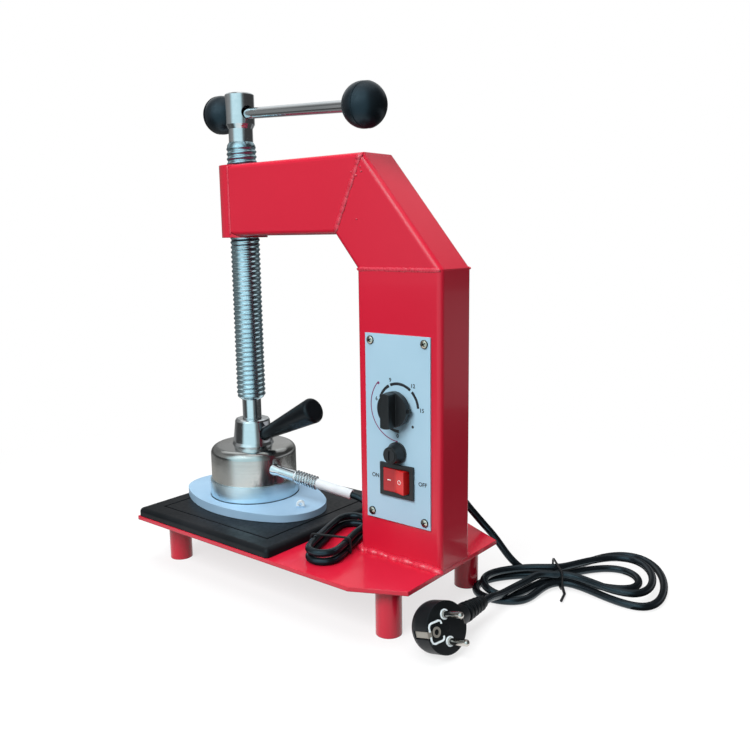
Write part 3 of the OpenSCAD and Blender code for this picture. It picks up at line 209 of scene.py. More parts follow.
def lamp(name, place, aim, size, power, colour, mirrored):
    light = bpy.data.lights.new(name, "AREA")
    light.shape = "RECTANGLE"
    light.size, light.size_y = size
    light.energy = power
    light.color = colour
    made = placed(name, light)
    made.location = place
    made.rotation_euler = (Vector(aim) - Vector(place)).to_track_quat("-Z", "Y").to_euler()
    made.visible_camera = False
    made.visible_glossy = mirrored


lamp("window", (0.15, -1.48, 1.52), (0, 0, 0.2), (1.4, 1.0), 48, (0.97, 0.99, 1.0), True)
lamp("ceiling", (0.0, 0.1, 2.1), (0.0, 0, 0.2), (1.6, 1.6), 25, (1, 1, 1), False)
lamp("side_fill", (1.7, 0.3, 1.2), (0.1, 0, 0.2), (1.0, 1.0), 2.5, (1, 1, 1), False)
lamp("back_fill", (-0.5, 1.6, 1.3), (0, 0, 0.2), (1.4, 1.0), 15, (1, 1, 1), False)

# Mains cord: round black rubber lead from the column's back, wound into a hank on the bench and tied.
# One length from the gland to the plug, with the route of the part's source, in metres.
MM = 0.001
COLUMN_X = 0.11175
CORD_D = 6.2
HANK_TURN = math.radians(40)
HANK_X, HANK_Y = 76, 100.5


def spline(points, count):
    out = []
    last = len(points) - 1
    for i in range(last):
        a, b = points[max(i - 1, 0)], points[i]
        c, d = points[i + 1], points[min(i + 2, last)]
        for k in range(count):
            t = k / count
            out.append(0.5 * (2 * b + (c - a) * t + (2 * a - 5 * b + 4 * c - d) * t ** 2
                              + (3 * b - a - 3 * c + d) * t ** 3))
    return out + [points[last]]


def ease(k):
    k = min(max(k, 0), 1)
    return k * k * (3 - 2 * k)


def hank_point(t):
    angle = math.radians(90 - 360 * t)
    c = math.cos(angle)
    k = 1 - t / 1.5 if t < 1.5 else (t - 1.5) / 1.5
    reach, opening, bend, way = (((62, 92), (24, 112), -0.18, 1) if c > 0 else ((64, 84), (22, 54), 0.68, -1))
    u = abs(c) * (reach[0] + (reach[1] - reach[0]) * k)
    wide = opening[0] + (opening[1] - opening[0]) * k
    v = math.sin(angle) * (2.2 + 10.6 * k + wide * c * c / math.sqrt(c * c + 0.12))
    h = HANK_TURN + math.radians(bend * u)
    r = math.degrees(1) / bend * way
    z = 3.25 + 1.6 * max(0, 1 - (u / 40) ** 2) ** 2 + 7.0 * ease((t - 1.66) / 0.2)
    return Vector((HANK_X + r * (math.sin(h) - math.sin(HANK_TURN)) - v * math.sin(h),
                   HANK_Y - r * (math.cos(h) - math.cos(HANK_TURN)) + v * math.cos(h), z))


along = Vector((math.cos(HANK_TURN), math.sin(HANK_TURN), 0))
loops = [hank_point(i / 96) for i in range(241)]
enter, leave = loops[0] - CORD_D * along, loops[-1] - CORD_D * along
relief_way = Vector((-0.00673, 0.99751, -0.06951))
relief_end = Vector((60.80, 4.42, 15.43))
down = [(0, 38, 80), (0, 46, 80), (0, 54, 79), (2, 63, 73), (8, 70, 61), (17, 76, 48), (27, 80, 36),
        (38, 86, 19), (46, 92.5, 9)]
away = [(64, 66, 10.6), (61.5, 48, 10.4), (61, 31, 11.8)]
route = spline([Vector(p) for p in down] + [enter - 2 * CORD_D * along + Vector((0, 0, 0.6)), enter], 6)[:-1]
route += [enter] + loops
route += spline([leave, leave - 2 * CORD_D * along] + [Vector(p) for p in away]
                + [relief_end + 2 * CORD_D * relief_way, relief_end, relief_end - 8 * relief_way], 6)
mains_route = [Vector((COLUMN_X, 0, 0)) + p * MM for p in route]


def frames_along(points):
    tangents = [(points[min(i + 1, len(points) - 1)] - points[max(i - 1, 0)]).normalized()
                for i in range(len(points))]
    across = tangents[0].orthogonal().normalized()
    for p, t in zip(points, tangents):
        across = (across - t * across.dot(t)).normalized()
        yield p, t, across, t.cross(across)


def mesh_piece(name, verts, faces, uvs):
    mesh = bpy.data.meshes.new(name)
    mesh.from_pydata([tuple(v) for v in verts], [], faces)
    layer = mesh.uv_layers.new(name="along")
    for loop in mesh.loops:
        layer.data[loop.index].uv = uvs[loop.vertex_index]
    for polygon in mesh.polygons:
        polygon.use_smooth = len(polygon.vertices) <= 4
    return placed(name, mesh)


def swept(name, points, radius, sides):
    verts, uvs = [], []
    travel = 0
    for i, (p, t, a, b) in enumerate(frames_along(points)):
        travel += (p - points[i - 1]).length if i else 0
        for k in range(sides):
            angle = 2 * math.pi * k / sides
            verts.append(p + radius * (math.cos(angle) * a + math.sin(angle) * b))
            uvs.append((travel, k / sides))
    faces = ring_faces(len(points), sides)
    faces.append(tuple(range(sides - 1, -1, -1)))
    faces.append(tuple((len(points) - 1) * sides + k for k in range(sides)))
    return mesh_piece(name, verts, faces, uvs)


# Handling marks, shared by all finishes: broad cloud and fine grain on Object coordinates.
marks = bpy.data.node_groups.new("handling_marks", "ShaderNodeTree")
marks.interface.new_socket("Scale", in_out="INPUT", socket_type="NodeSocketFloat")
for label in ("Broad", "Fine"):
    marks.interface.new_socket(label, in_out="OUTPUT", socket_type="NodeSocketFloat")
entry, result = node(marks, "NodeGroupInput"), node(marks, "NodeGroupOutput")
place = object_place(marks)
for label, times, detail in (("Broad", 1, 3), ("Fine", 14, 4)):
    noise = node(marks, "ShaderNodeTexNoise", {"Detail": detail})
    link(marks, place, noise.inputs["Vector"])
    link(marks, sum_up(marks, "MULTIPLY", entry.outputs["Scale"], times), noise.inputs["Scale"])
    ramp = node(marks, "ShaderNodeMapRange", {"From Min": 0.3, "From Max": 0.7})
    link(marks, noise.outputs["Fac"], ramp.inputs["Value"])
    link(marks, ramp.outputs["Result"], result.inputs[label])


def finish(name, dark, light, rough, scale, bump, metallic=0.0, coat=0.0, edge=0.0, specular=0.5,
           sheen=(1, 1, 1)):
    material = bpy.data.materials.new(name)
    material.use_nodes = True
    tree = material.node_tree
    shader = tree.nodes["Principled BSDF"]
    for label, value in (("Metallic", metallic), ("Coat Weight", coat), ("Coat Roughness", 0.06),
                         ("Specular IOR Level", specular), ("Specular Tint", (*sheen, 1))):
        shader.inputs[label].default_value = value
    wear = node(tree, "ShaderNodeGroup", {"Scale": scale}, node_tree=marks, name="wear")
    colour = node(tree, "ShaderNodeMix", {"A": (*dark, 1), "B": (*light, 1)}, data_type="RGBA", name="colour")
    link(tree, wear.outputs["Broad"], colour.inputs["Factor"])
    link(tree, colour.outputs["Result"], shader.inputs["Base Color"])
    roughness = node(tree, "ShaderNodeMapRange", {"To Min": rough[0], "To Max": rough[1]}, name="roughness")
    link(tree, wear.outputs["Fine"], roughness.inputs["Value"])
    link(tree, roughness.outputs["Result"], shader.inputs["Roughness"])
    relief = node(tree, "ShaderNodeBump", {"Strength": bump, "Distance": 0.0002}, name="relief")
    link(tree, wear.outputs["Fine"], relief.inputs["Height"])
    if edge:
        soften = node(tree, "ShaderNodeBevel", {"Radius": edge}, samples=6)
        link(tree, soften.outputs["Normal"], relief.inputs["Normal"])
    link(tree, relief.outputs["Normal"], shader.inputs["Normal"])
    return material


def wear_finish(material, *names):
    for name in names:
        mesh = nodes[name].data
        mesh.materials.clear()
        mesh.materials.append(material)


cord_rubber = finish("cord_rubber", (0.003, 0.004, 0.005), (0.006, 0.008, 0.010), (0.16, 0.24), 60, 0.03,
                     specular=0.60, sheen=(0.6, 0.85, 1))
mains_cord = swept("mains_cord", mains_route, CORD_D / 2 * MM, 20)
mains_cord.data.materials.append(cord_rubber)
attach(mains_cord, "frame")
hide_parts("mains_cord_lead", "mains_cord_hank", "mains_cord_tail")

# Plug: black rubber moulded on the cord, with two nickel pins, earth clips at its sides and an earth socket.
# The socket's bright frame is pressed sheet with a dull strip to the side clip, and rings seat the pins.
def arc(x, y, inner, outer, first, last, steps=24):
    turns = [math.radians(first + (last - first) * i / steps) for i in range(steps + 1)]
    rim = [(x + outer * math.cos(a), y + outer * math.sin(a)) for a in turns]
    return [[rim[i], rim[i + 1], (x + inner * math.cos(turns[i + 1]), y + inner * math.sin(turns[i + 1])),
             (x + inner * math.cos(turns[i]), y + inner * math.sin(turns[i]))] for i in range(steps)]


def inlay(name, shapes, thick, place, material, body):
    sheet = bmesh.new()
    for outline in shapes:
        sheet.faces.new([sheet.verts.new((x * MM, y * MM, 0)) for x, y in outline])
    bmesh.ops.remove_doubles(sheet, verts=sheet.verts, dist=1e-6)
    raised = bmesh.ops.extrude_face_region(sheet, geom=sheet.faces[:])
    bmesh.ops.translate(sheet, vec=(0, 0, thick * MM),
                        verts=[v for v in raised["geom"] if isinstance(v, bmesh.types.BMVert)])
    bmesh.ops.recalc_face_normals(sheet, faces=sheet.faces)
    for i, face in enumerate(sorted(sheet.faces, key=lambda f: f.calc_center_median()[:])):
        face.index = i
    sheet.faces.sort()
    mesh = bpy.data.meshes.new(name)
    sheet.to_mesh(mesh)
    sheet.free()
    mesh.transform(place)
    mesh.materials.append(material)
    piece = placed(name, mesh)
    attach(piece, body)
    return piece


plug_rubber = finish("plug_rubber", (0.003, 0.0035, 0.004), (0.006, 0.007, 0.008), (0.36, 0.46), 50, 0.05,
                     edge=0.0012, specular=0.22, sheen=(0.8, 0.92, 1))
wear_finish(plug_rubber, "plug_body")
nickel_pins = finish("nickel_pins", (0.50, 0.47, 0.43), (0.66, 0.63, 0.59), (0.12, 0.20), 50, 0.03, metallic=1.0)
wear_finish(nickel_pins, "plug_pins")
dull_strip = finish("dull_strip", (0.26, 0.24, 0.21), (0.36, 0.34, 0.30), (0.36, 0.46), 60, 0.05, metallic=0.4)
wear_finish(dull_strip, "plug_earth_clips")
bright_strip = finish("bright_strip", (0.78, 0.88, 0.92), (0.86, 0.94, 0.97), (0.25, 0.35), 60, 0.03)
plug_place = (Matrix.Translation((180.75 * MM, -57 * MM, 22.2 * MM))
              @ Matrix.Rotation(math.radians(-12), 4, "Z") @ Matrix.Rotation(math.radians(72), 4, "Y"))


def band(points, wide):
    sides = []
    for i, (x, y) in enumerate(points):
        (ax, ay), (bx, by) = points[max(i - 1, 0)], points[min(i + 1, len(points) - 1)]
        away = math.hypot(bx - ax, by - ay)
        ox, oy = -(by - ay) / away * wide / 2, (bx - ax) / away * wide / 2
        sides.append(((x + ox, y + oy), (x - ox, y - oy)))
    return [[a[0], b[0], b[1], a[1]] for a, b in zip(sides, sides[1:])]


STRIP_WIDE = 1.3
PIN_OFFSET = 9.5
bracket = [(1.6, -16.0), (4.6, -16.0), (6.2, -15.2), (7.0, -13.6), (7.0, -6.6), (6.4, -5.0), (5.0, -4.4),
           (4.2, -4.6)]
socket_shapes = band(bracket, STRIP_WIDE) + band([(-x, y) for x, y in bracket], STRIP_WIDE)
for s in (-1, 1):
    socket_shapes += arc(s * PIN_OFFSET, 0, 2.6, 3.7, 0, 360, 32)
earth_frame = inlay("earth_frame", socket_shapes, 0.5, plug_place, bright_strip, "frame")
strip_shapes = arc(0, -10, 2.0, 3.7, 0, 360, 32)
strip_shapes += [[(-2.2, -18.3), (2.2, -18.3), (2.2, -14.6), (-2.2, -14.6)],
                 [(-4.6, 13.8), (-1.4, 13.8), (-1.4, 15.4), (-4.6, 15.4)]]
earth_strip = inlay("earth_strip", strip_shapes, 0.3, plug_place, dull_strip, "frame")
plug_pip = inlay("plug_pip", arc(0, 0, 0, 3.1, 0, 360, 24), 0.15, plug_place, plug_rubber, "frame")
mains_length = sum((b - a).length for a, b in zip(mains_route, mains_route[1:]))
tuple(mains_route[6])

# Heater lead: limp black lead from the sleeve's mouth, folded twice on the plate and led into the column.
# Its first stretch hangs from the sleeve's mouth and the rest lies on the plate.
LEAD_D = 6.0
FACE_X = 0.07275
FOLD_TURN = math.radians(-70)
FOLD_X, FOLD_Y = -20, -24.5
GLAND_REACH, GLAND_Z, SLEEVE_END = 38, 87.0, 78


def lead_fold(angle):
    c = math.cos(math.radians(angle))
    u = -(13 * c + 31 * c / math.sqrt(c * c + 0.05))
    v = 13 * math.sin(math.radians(angle))
    z = 45.15 + 6.8 * (1 - ease((angle - 390) / 60))
    return Vector((FOLD_X + u * math.cos(FOLD_TURN) - v * math.sin(FOLD_TURN),
                   FOLD_Y + u * math.sin(FOLD_TURN) + v * math.cos(FOLD_TURN), z))


folds = [lead_fold(90 + 5 * i) for i in range(127)]
fold_in = folds[0] + LEAD_D * (folds[0] - folds[1]).normalized()
fold_out = folds[-1] + LEAD_D * Vector((-math.sin(FOLD_TURN), math.cos(FOLD_TURN), 0))
lead_way = Vector((0.96015, 0.22167, -0.17021))
gland = Vector((-71.75 - FACE_X / MM + GLAND_REACH * 0.97155, -GLAND_REACH * 0.23684, GLAND_Z))
mouth = gland + SLEEVE_END * lead_way
falling = [(-25, 9.5, 72), (-17, 11, 68), (-12, 10.5, 61), (-11.5, 6, 55), (-12, -2, 52.2)]
climbing = [(-24, 20.6, 45.6), (-16.5, 19.5, 47.8), (-11, 14.2, 51.4), (-7, 11.5, 53), (-2.5, 11.5, 53),
            (2, 11.5, 53)]
route = spline([mouth - 8 * lead_way, mouth] + [Vector(p) for p in falling] + [fold_in], 6)
route += folds + spline([fold_out] + [Vector(p) for p in climbing], 6)
lead_route = [Vector((FACE_X, 0, 0)) + p * MM for p in route]
heater_lead = swept("heater_lead_cable", lead_route, LEAD_D / 2 * MM, 20)
heater_lead.data.materials.append(cord_rubber)
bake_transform(heater_lead)
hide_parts("heater_lead", "heater_lead_hank", "heater_lead_tail")
lead_length = sum((b - a).length for a, b in zip(lead_route, lead_route[1:]))
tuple(lead_route[6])

# Welded frame: sheet plate, round feet and mitred rectangular tube, sprayed glossy crimson after welding.
# The bush that the screw runs in closes the arm's end. For reflected rays only, the enamel is painted dark wine
# red: painted shade in its reflections on the plating.
def overlaid(material, share, colour):
    tree = material.node_tree
    over = node(tree, "ShaderNodeMix", {"B": (*colour, 1)}, data_type="RGBA")
    link(tree, share, over.inputs["Factor"])
    link(tree, tree.nodes["colour"].outputs["Result"], over.inputs["A"])
    link(tree, over.outputs["Result"], tree.nodes["Principled BSDF"].inputs["Base Color"])


red_enamel = finish("red_enamel", (0.57, 0.009, 0.032), (0.63, 0.013, 0.040), (0.25, 0.27), 7, 0.004, coat=0.24,
                    edge=0.0012, specular=0.4)
# The enamel is painted dark wine red for reflected rays only: painted shade in its reflections.
shaded_in_mirrors = node(red_enamel.node_tree, "ShaderNodeLightPath").outputs["Is Glossy Ray"]
overlaid(red_enamel, shaded_in_mirrors, (0.15, 0.012, 0.030))
wear_finish(red_enamel, "base_plate", "feet", "column_tube", "brace_tube", "arm_tube", "spindle_nut")

# Weld beads: hand-laid runs of molten drops, painted over with the frame, partly in a paler pink than its enamel:
# painted highlight on the drops.
# One run goes round the column's foot, and short runs lie on the mitres and beside the bush.
# The upper mitre's run ends in a lump, with specks of spatter near it.
def tree_of(name, inputs):
    made = bpy.data.node_groups.new(name, "GeometryNodeTree")
    for label, kind in inputs:
        made.interface.new_socket(label, in_out="INPUT", socket_type=kind)
    made.interface.new_socket("Geometry", in_out="OUTPUT", socket_type="NodeSocketGeometry")
    return made, node(made, "NodeGroupInput"), node(made, "NodeGroupOutput")


def grown(name, base, tree, values):
    piece = placed(name, base)
    modifier = piece.modifiers.new("growth", "NODES")
    modifier.node_group = tree
    for socket in tree.interface.items_tree:
        if socket.in_out == "INPUT" and socket.name in values:
            modifier[socket.identifier] = values[socket.name]
    graph = bpy.context.evaluated_depsgraph_get()
    made = bpy.data.meshes.new_from_object(piece.evaluated_get(graph), depsgraph=graph)
    piece.modifiers.remove(modifier)
    piece.data = made
    return piece


def realized(tree, geometry, given, result):
    whole = node(tree, "GeometryNodeRealizeInstances")
    link(tree, geometry, whole.inputs["Geometry"])
    coated = node(tree, "GeometryNodeSetMaterial")
    link(tree, whole.outputs["Geometry"], coated.inputs["Geometry"])
    link(tree, given.outputs["Material"], coated.inputs["Material"])
    link(tree, coated.outputs["Geometry"], result.inputs["Geometry"])


bead_tree, given, result = tree_of("weld_bead", [
    ("Geometry", "NodeSocketGeometry"), ("Spacing", "NodeSocketFloat"), ("Drop", "NodeSocketFloat"),
    ("Form", "NodeSocketVector"), ("Stray", "NodeSocketFloat"), ("Seed", "NodeSocketInt"),
    ("Material", "NodeSocketMaterial")])
run = node(bead_tree, "GeometryNodeMeshToCurve")
link(bead_tree, given.outputs["Geometry"], run.inputs["Mesh"])
spaced = node(bead_tree, "GeometryNodeResampleCurve", mode="LENGTH")
link(bead_tree, run.outputs["Curve"], spaced.inputs["Curve"])
link(bead_tree, given.outputs["Spacing"], spaced.inputs["Length"])
wander = node(bead_tree, "FunctionNodeRandomValue", {"Min": (-1, -1, -1)}, data_type="FLOAT_VECTOR")
link(bead_tree, given.outputs["Seed"], wander.inputs["Seed"])
stray = node(bead_tree, "ShaderNodeVectorMath", operation="SCALE")
link(bead_tree, wander.outputs["Value"], stray.inputs["Vector"])
link(bead_tree, given.outputs["Stray"], stray.inputs["Scale"])
moved = node(bead_tree, "GeometryNodeSetPosition")
link(bead_tree, spaced.outputs["Curve"], moved.inputs["Geometry"])
link(bead_tree, stray.outputs["Vector"], moved.inputs["Offset"])
drop = node(bead_tree, "GeometryNodeMeshIcoSphere", {"Subdivisions": 2})
link(bead_tree, given.outputs["Drop"], drop.inputs["Radius"])
rounded = node(bead_tree, "GeometryNodeSetShadeSmooth")
link(bead_tree, drop.outputs["Mesh"], rounded.inputs["Geometry"])
uneven = node(bead_tree, "FunctionNodeRandomValue", {2: 0.72, 3: 1.22}, data_type="FLOAT")
link(bead_tree, given.outputs["Seed"], uneven.inputs["Seed"])
sized = node(bead_tree, "ShaderNodeVectorMath", operation="SCALE")
link(bead_tree, given.outputs["Form"], sized.inputs["Vector"])
link(bead_tree, uneven.outputs[1], sized.inputs["Scale"])
heading = node(bead_tree, "FunctionNodeAlignRotationToVector", axis="X")
link(bead_tree, node(bead_tree, "GeometryNodeInputTangent").outputs["Tangent"], heading.inputs["Vector"])
drops = node(bead_tree, "GeometryNodeInstanceOnPoints")
link(bead_tree, heading.outputs["Rotation"], drops.inputs["Rotation"])
link(bead_tree, moved.outputs["Geometry"], drops.inputs["Points"])
link(bead_tree, rounded.outputs["Geometry"], drops.inputs["Instance"])
link(bead_tree, sized.outputs["Vector"], drops.inputs["Scale"])
realized(bead_tree, drops.outputs["Instances"], given, result)

# The beads' paint runs from the frame's red to a paler pink: painted highlight on the drops.
weld_paint_and_highlight = finish("weld_paint_and_highlight", (0.58, 0.012, 0.038), (0.68, 0.030, 0.065), (0.24, 0.32), 60, 0.02,
                     specular=1.0)
FOOT_Z = 42.4
FOOT_Y = 20.6
FACE_Y = 19.9


def weld(name, runs, spacing, drop, form, stray, seed, stands_for=None):
    verts, edges = [], []
    for points in runs:
        start = len(verts)
        verts += [tuple(c * MM for c in p) for p in points]
        edges += [(start + i, start + i + 1) for i in range(len(points) - 1)]
    line = bpy.data.meshes.new(name)
    line.from_pydata(verts, edges, [])
    piece = grown(name, line, bead_tree, {
        "Spacing": spacing * MM, "Drop": drop * MM, "Form": form, "Stray": stray * MM, "Seed": seed,
        "Material": weld_paint_and_highlight})
    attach(piece, "frame")
    if stands_for:
        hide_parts(stands_for)


def corner(x, y, first, last, r):
    return [(x + r * math.cos(math.radians(a)), y + r * math.sin(math.radians(a)), FOOT_Z)
            for a in (first + (last - first) * i / 8 for i in range(9))]


def both_faces(low, high):
    return [[(x, s * FACE_Y, z) for x, z in (low, high)] for s in (-1, 1)]


foot_run = ([(146.75, -FOOT_Y, FOOT_Z), (76.75, -FOOT_Y, FOOT_Z)] + corner(76.75, -16, -90, -180, 4.6)
            + corner(76.75, 16, 180, 90, 4.6) + [(146.75, FOOT_Y, FOOT_Z)])
weld("foot_weld", [foot_run], 4.0, 3.5, (1.7, 0.90, 0.82), 0.4, 3, "weld_base")
weld("column_weld", both_faces((77, 267), (146.5, 267)), 1.1, 1.9, (2.2, 0.24, 0.80), 0.06, 5, "weld_column")
weld("arm_weld", both_faces((52.9, 296.6), (76.7, 347.5)), 1.5, 2.4, (1.6, 0.40, 0.85), 0.15, 8, "weld_arm")
weld("weld_end", [[(76.9, -19.3, 349.3), (78.3, -19.3, 349.9)]], 1.0, 2.5, (1.1, 0.75, 1.0), 0.1, 13)
SPATTER = ((78.1, 342.3), (79.5, 338.9), (69.5, 339.1), (72.8, 336.5), (74.4, 336.3), (74.1, 304.2))
weld("weld_spatter", [[(x - 0.2, -20, z), (x + 0.2, -20, z)] for x, z in SPATTER], 1.0, 0.75, (1, 0.8, 1), 0.1, 17)
weld("bush_weld", both_faces((-68.75, 297), (-68.75, 349)), 1.6, 1.3, (2.4, 0.35, 0.9), 0.04, 11, "weld_nut")

# Bed pad: moulded black rubber with a square groove, glued on the plate's free end.
# Its top is rubbed smooth, and a few pale crumbs of ground rubber lie on it.
bed_rubber = finish("bed_rubber", (0.005, 0.006, 0.007), (0.011, 0.012, 0.014), (0.34, 0.46), 22, 0.12,
                    edge=0.001, specular=0.16, sheen=(0.8, 0.92, 1))
CRUMB_SIZE, CRUMB_SHARE = 0.055, 0.93
tree = bed_rubber.node_tree
crumbs = node(tree, "ShaderNodeTexVoronoi", {"Scale": 75})
link(tree, object_place(tree), crumbs.inputs["Vector"])
near = sum_up(tree, "LESS_THAN", crumbs.outputs["Distance"], CRUMB_SIZE)
few = node(tree, "ShaderNodeSeparateColor")
link(tree, crumbs.outputs["Color"], few.inputs["Color"])
chosen = sum_up(tree, "GREATER_THAN", few.outputs["Red"], CRUMB_SHARE)
overlaid(bed_rubber, sum_up(tree, "MULTIPLY", near, chosen), (0.55, 0.55, 0.53))
wear_finish(bed_rubber, "bed_pad")

# Heating shoe and heater ring: cast aluminium, the shoe painted pale blue-grey and the ring turned bright.
# Three screws from below hold the ring, and the mica element, its board and the thermostat sit inside.
SPINDLE_X = -0.07175
turned_lines = bpy.data.node_groups.new("turning_lines", "ShaderNodeTree")
turned_lines.interface.new_socket("Scale", in_out="INPUT", socket_type="NodeSocketFloat")
turned_lines.interface.new_socket("Lines", in_out="OUTPUT", socket_type="NodeSocketFloat")
entry, result = node(turned_lines, "NodeGroupInput"), node(turned_lines, "NodeGroupOutput")
centred = node(turned_lines, "ShaderNodeMapping", {"Location": (-SPINDLE_X, 0, 0)})
link(turned_lines, object_place(turned_lines), centred.inputs["Vector"])
parts = node(turned_lines, "ShaderNodeSeparateXYZ")
link(turned_lines, centred.outputs["Vector"], parts.inputs["Vector"])
flat = node(turned_lines, "ShaderNodeCombineXYZ")
link(turned_lines, parts.outputs["X"], flat.inputs["X"])
link(turned_lines, parts.outputs["Y"], flat.inputs["Y"])
spread = node(turned_lines, "ShaderNodeVectorMath", operation="LENGTH")
link(turned_lines, flat.outputs["Vector"], spread.inputs[0])
rings = node(turned_lines, "ShaderNodeCombineXYZ")
link(turned_lines, spread.outputs["Value"], rings.inputs["X"])
link(turned_lines, parts.outputs["Z"], rings.inputs["Z"])
lines = node(turned_lines, "ShaderNodeTexNoise", {"Detail": 3})
link(turned_lines, rings.outputs["Vector"], lines.inputs["Vector"])
link(turned_lines, entry.outputs["Scale"], lines.inputs["Scale"])
link(turned_lines, lines.outputs["Fac"], result.inputs["Lines"])


def turned_finish(name, dark, light, rough, line_scale, line_bump):
    material = finish(name, dark, light, rough, 25, 0.03, metallic=1.0)
    tree = material.node_tree
    lathe = node(tree, "ShaderNodeGroup", {"Scale": line_scale}, node_tree=turned_lines, name="lathe")
    link(tree, lathe.outputs["Lines"], tree.nodes["relief"].inputs["Height"])
    tree.nodes["relief"].inputs["Strength"].default_value = line_bump
    shade = node(tree, "ShaderNodeMath", operation="ADD", use_clamp=True)
    half = node(tree, "ShaderNodeMath", {1: 0.8, 2: -0.4}, operation="MULTIPLY_ADD")
    link(tree, lathe.outputs["Lines"], half.inputs[0])
    link(tree, half.outputs[0], shade.inputs[0])
    link(tree, tree.nodes["wear"].outputs["Broad"], shade.inputs[1])
    link(tree, shade.outputs[0], tree.nodes["colour"].inputs["Factor"])
    return material


def tinted_along(material, axis, first, last, colour):
    tree = material.node_tree
    axes = node(tree, "ShaderNodeSeparateXYZ")
    link(tree, object_place(tree), axes.inputs["Vector"])
    share = node(tree, "ShaderNodeMapRange", {"From Min": first, "From Max": last})
    link(tree, axes.outputs[axis], share.inputs["Value"])
    overlaid(material, share.outputs["Result"], colour)


shoe_paint = finish("shoe_paint", (0.29, 0.45, 0.61), (0.35, 0.52, 0.68), (0.42, 0.52), 16, 0.06, metallic=0.15,
                    edge=0.0005, specular=0.35)
RING_TALL = 14.7
SEAT_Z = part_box("heater_cap")[0][2] - RING_TALL * MM
tinted_along(shoe_paint, "Z", SEAT_Z + 0.2 * MM, SEAT_Z + 0.6 * MM, (0.72, 0.78, 0.80))
wear_finish(shoe_paint, "heating_shoe")
heater_ring = turned_finish("turned_aluminium", (0.63, 0.81, 0.91), (0.77, 0.92, 0.99), (0.31, 0.38), 300, 0.004)
# A near-black band is painted round the ring's foot, just above the shoe: painted shade at the seam.
tinted_along(heater_ring, "Z", SEAT_Z + 1.2 * MM, SEAT_Z + 0.3 * MM, (0.05, 0.06, 0.07))
wear_finish(heater_ring, "heater_body")
steel_screws = finish("plain_steel", (0.42, 0.41, 0.39), (0.58, 0.57, 0.55), (0.24, 0.36), 30, 0.05, metallic=1.0)
wear_finish(steel_screws, "shoe_screws", "pressure_post", "spindle_retainer", "handle_stud", "timer_shaft")
board = finish("mica_board", (0.52, 0.46, 0.34), (0.66, 0.60, 0.46), (0.45, 0.60), 30, 0.15)
wear_finish(board, "heating_element", "insulation_disc")

# Heater cap and collar: steel pressings, satin nickel on the cap and bright chrome on the collar.
# The cap is crimped on the ring, and the collar on it holds the screw's swivel end.
nickel = turned_finish("satin_nickel", (0.52, 0.53, 0.51), (0.65, 0.67, 0.66), (0.13, 0.22), 500, 0.02)
wear_finish(nickel, "heater_cap")
chrome = turned_finish("bright_chrome", (0.68, 0.73, 0.75), (0.80, 0.84, 0.86), (0.10, 0.17), 700, 0.012)
wear_finish(chrome, "spindle_collar", "swivel_pin", "tommy_bar", "lead_gland")

# Side handle: tapered black grip moulded on a steel stud in the collar.
# Its skin is smooth, with a soft sheen.
grip_plastic = finish("grip_plastic", (0.003, 0.004, 0.005), (0.006, 0.007, 0.009), (0.28, 0.34), 30, 0.01,
                      edge=0.0008, specular=0.26, sheen=(0.7, 0.9, 1))
wear_finish(grip_plastic, "handle_grip")

# Screw: rolled round thread on chromed bar, with a plain neck and a drilled head.
# It swivels in the collar, and a touch of red paint was left on the head's neck.
def turned(name, profile, sides):
    verts, uvs = [], []
    travel = 0
    for i, (r, z) in enumerate(profile):
        travel += math.dist(profile[i - 1], profile[i]) if i else 0
        for k in range(sides):
            angle = 2 * math.pi * k / sides
            verts.append((r * MM * math.cos(angle), r * MM * math.sin(angle), z * MM))
            uvs.append((travel * MM, k / sides))
    piece = mesh_piece(name, verts, ring_faces(len(profile), sides), uvs)
    shape = bmesh.new()
    shape.from_mesh(piece.data)
    bmesh.ops.remove_doubles(shape, verts=shape.verts, dist=1e-7)
    bmesh.ops.recalc_face_normals(shape, faces=shape.faces)
    shape.to_mesh(piece.data)
    shape.free()
    piece.data.set_sharp_from_angle(angle=math.radians(35))
    return piece


LENGTH = 226.8
CREST_R = 13
PITCH = 4.2
BAR_Z, BAR_STEP = 4.2, 0.42
SCREW_Z = 0.146
thread_tree, given, result = tree_of("rolled_thread", [
    ("Geometry", "NodeSocketGeometry"), ("Pitch", "NodeSocketFloat"), ("Depth", "NodeSocketFloat"),
    ("Length", "NodeSocketFloat"), ("Run Out", "NodeSocketFloat"), ("Material", "NodeSocketMaterial")])
spot = node(thread_tree, "GeometryNodeInputPosition").outputs["Position"]
axes = node(thread_tree, "ShaderNodeSeparateXYZ")
link(thread_tree, spot, axes.inputs["Vector"])
x, y, z = axes.outputs
turn_share = sum_up(thread_tree, "DIVIDE", sum_up(thread_tree, "ARCTAN2", y, x), math.tau)
climb_share = sum_up(thread_tree, "DIVIDE", z, given.outputs["Pitch"])
phase = sum_up(thread_tree, "MULTIPLY", sum_up(thread_tree, "SUBTRACT", climb_share, turn_share), math.tau)
wave = sum_up(thread_tree, "COSINE", phase, 0)
groove = sum_up(thread_tree, "MULTIPLY", sum_up(thread_tree, "SUBTRACT", wave, 1), 0.5)
to_end = sum_up(thread_tree, "MINIMUM", z, sum_up(thread_tree, "SUBTRACT", given.outputs["Length"], z))
fade = node(thread_tree, "ShaderNodeClamp")
link(thread_tree, sum_up(thread_tree, "DIVIDE", to_end, given.outputs["Run Out"]), fade.inputs["Value"])
faded = sum_up(thread_tree, "MULTIPLY", groove, fade.outputs[0])
sink = sum_up(thread_tree, "MULTIPLY", faded, given.outputs["Depth"])
level_way = node(thread_tree, "ShaderNodeVectorMath", {1: (1, 1, 0)}, operation="MULTIPLY")
link(thread_tree, spot, level_way.inputs[0])
outward = node(thread_tree, "ShaderNodeVectorMath", operation="NORMALIZE")
link(thread_tree, level_way.outputs["Vector"], outward.inputs[0])
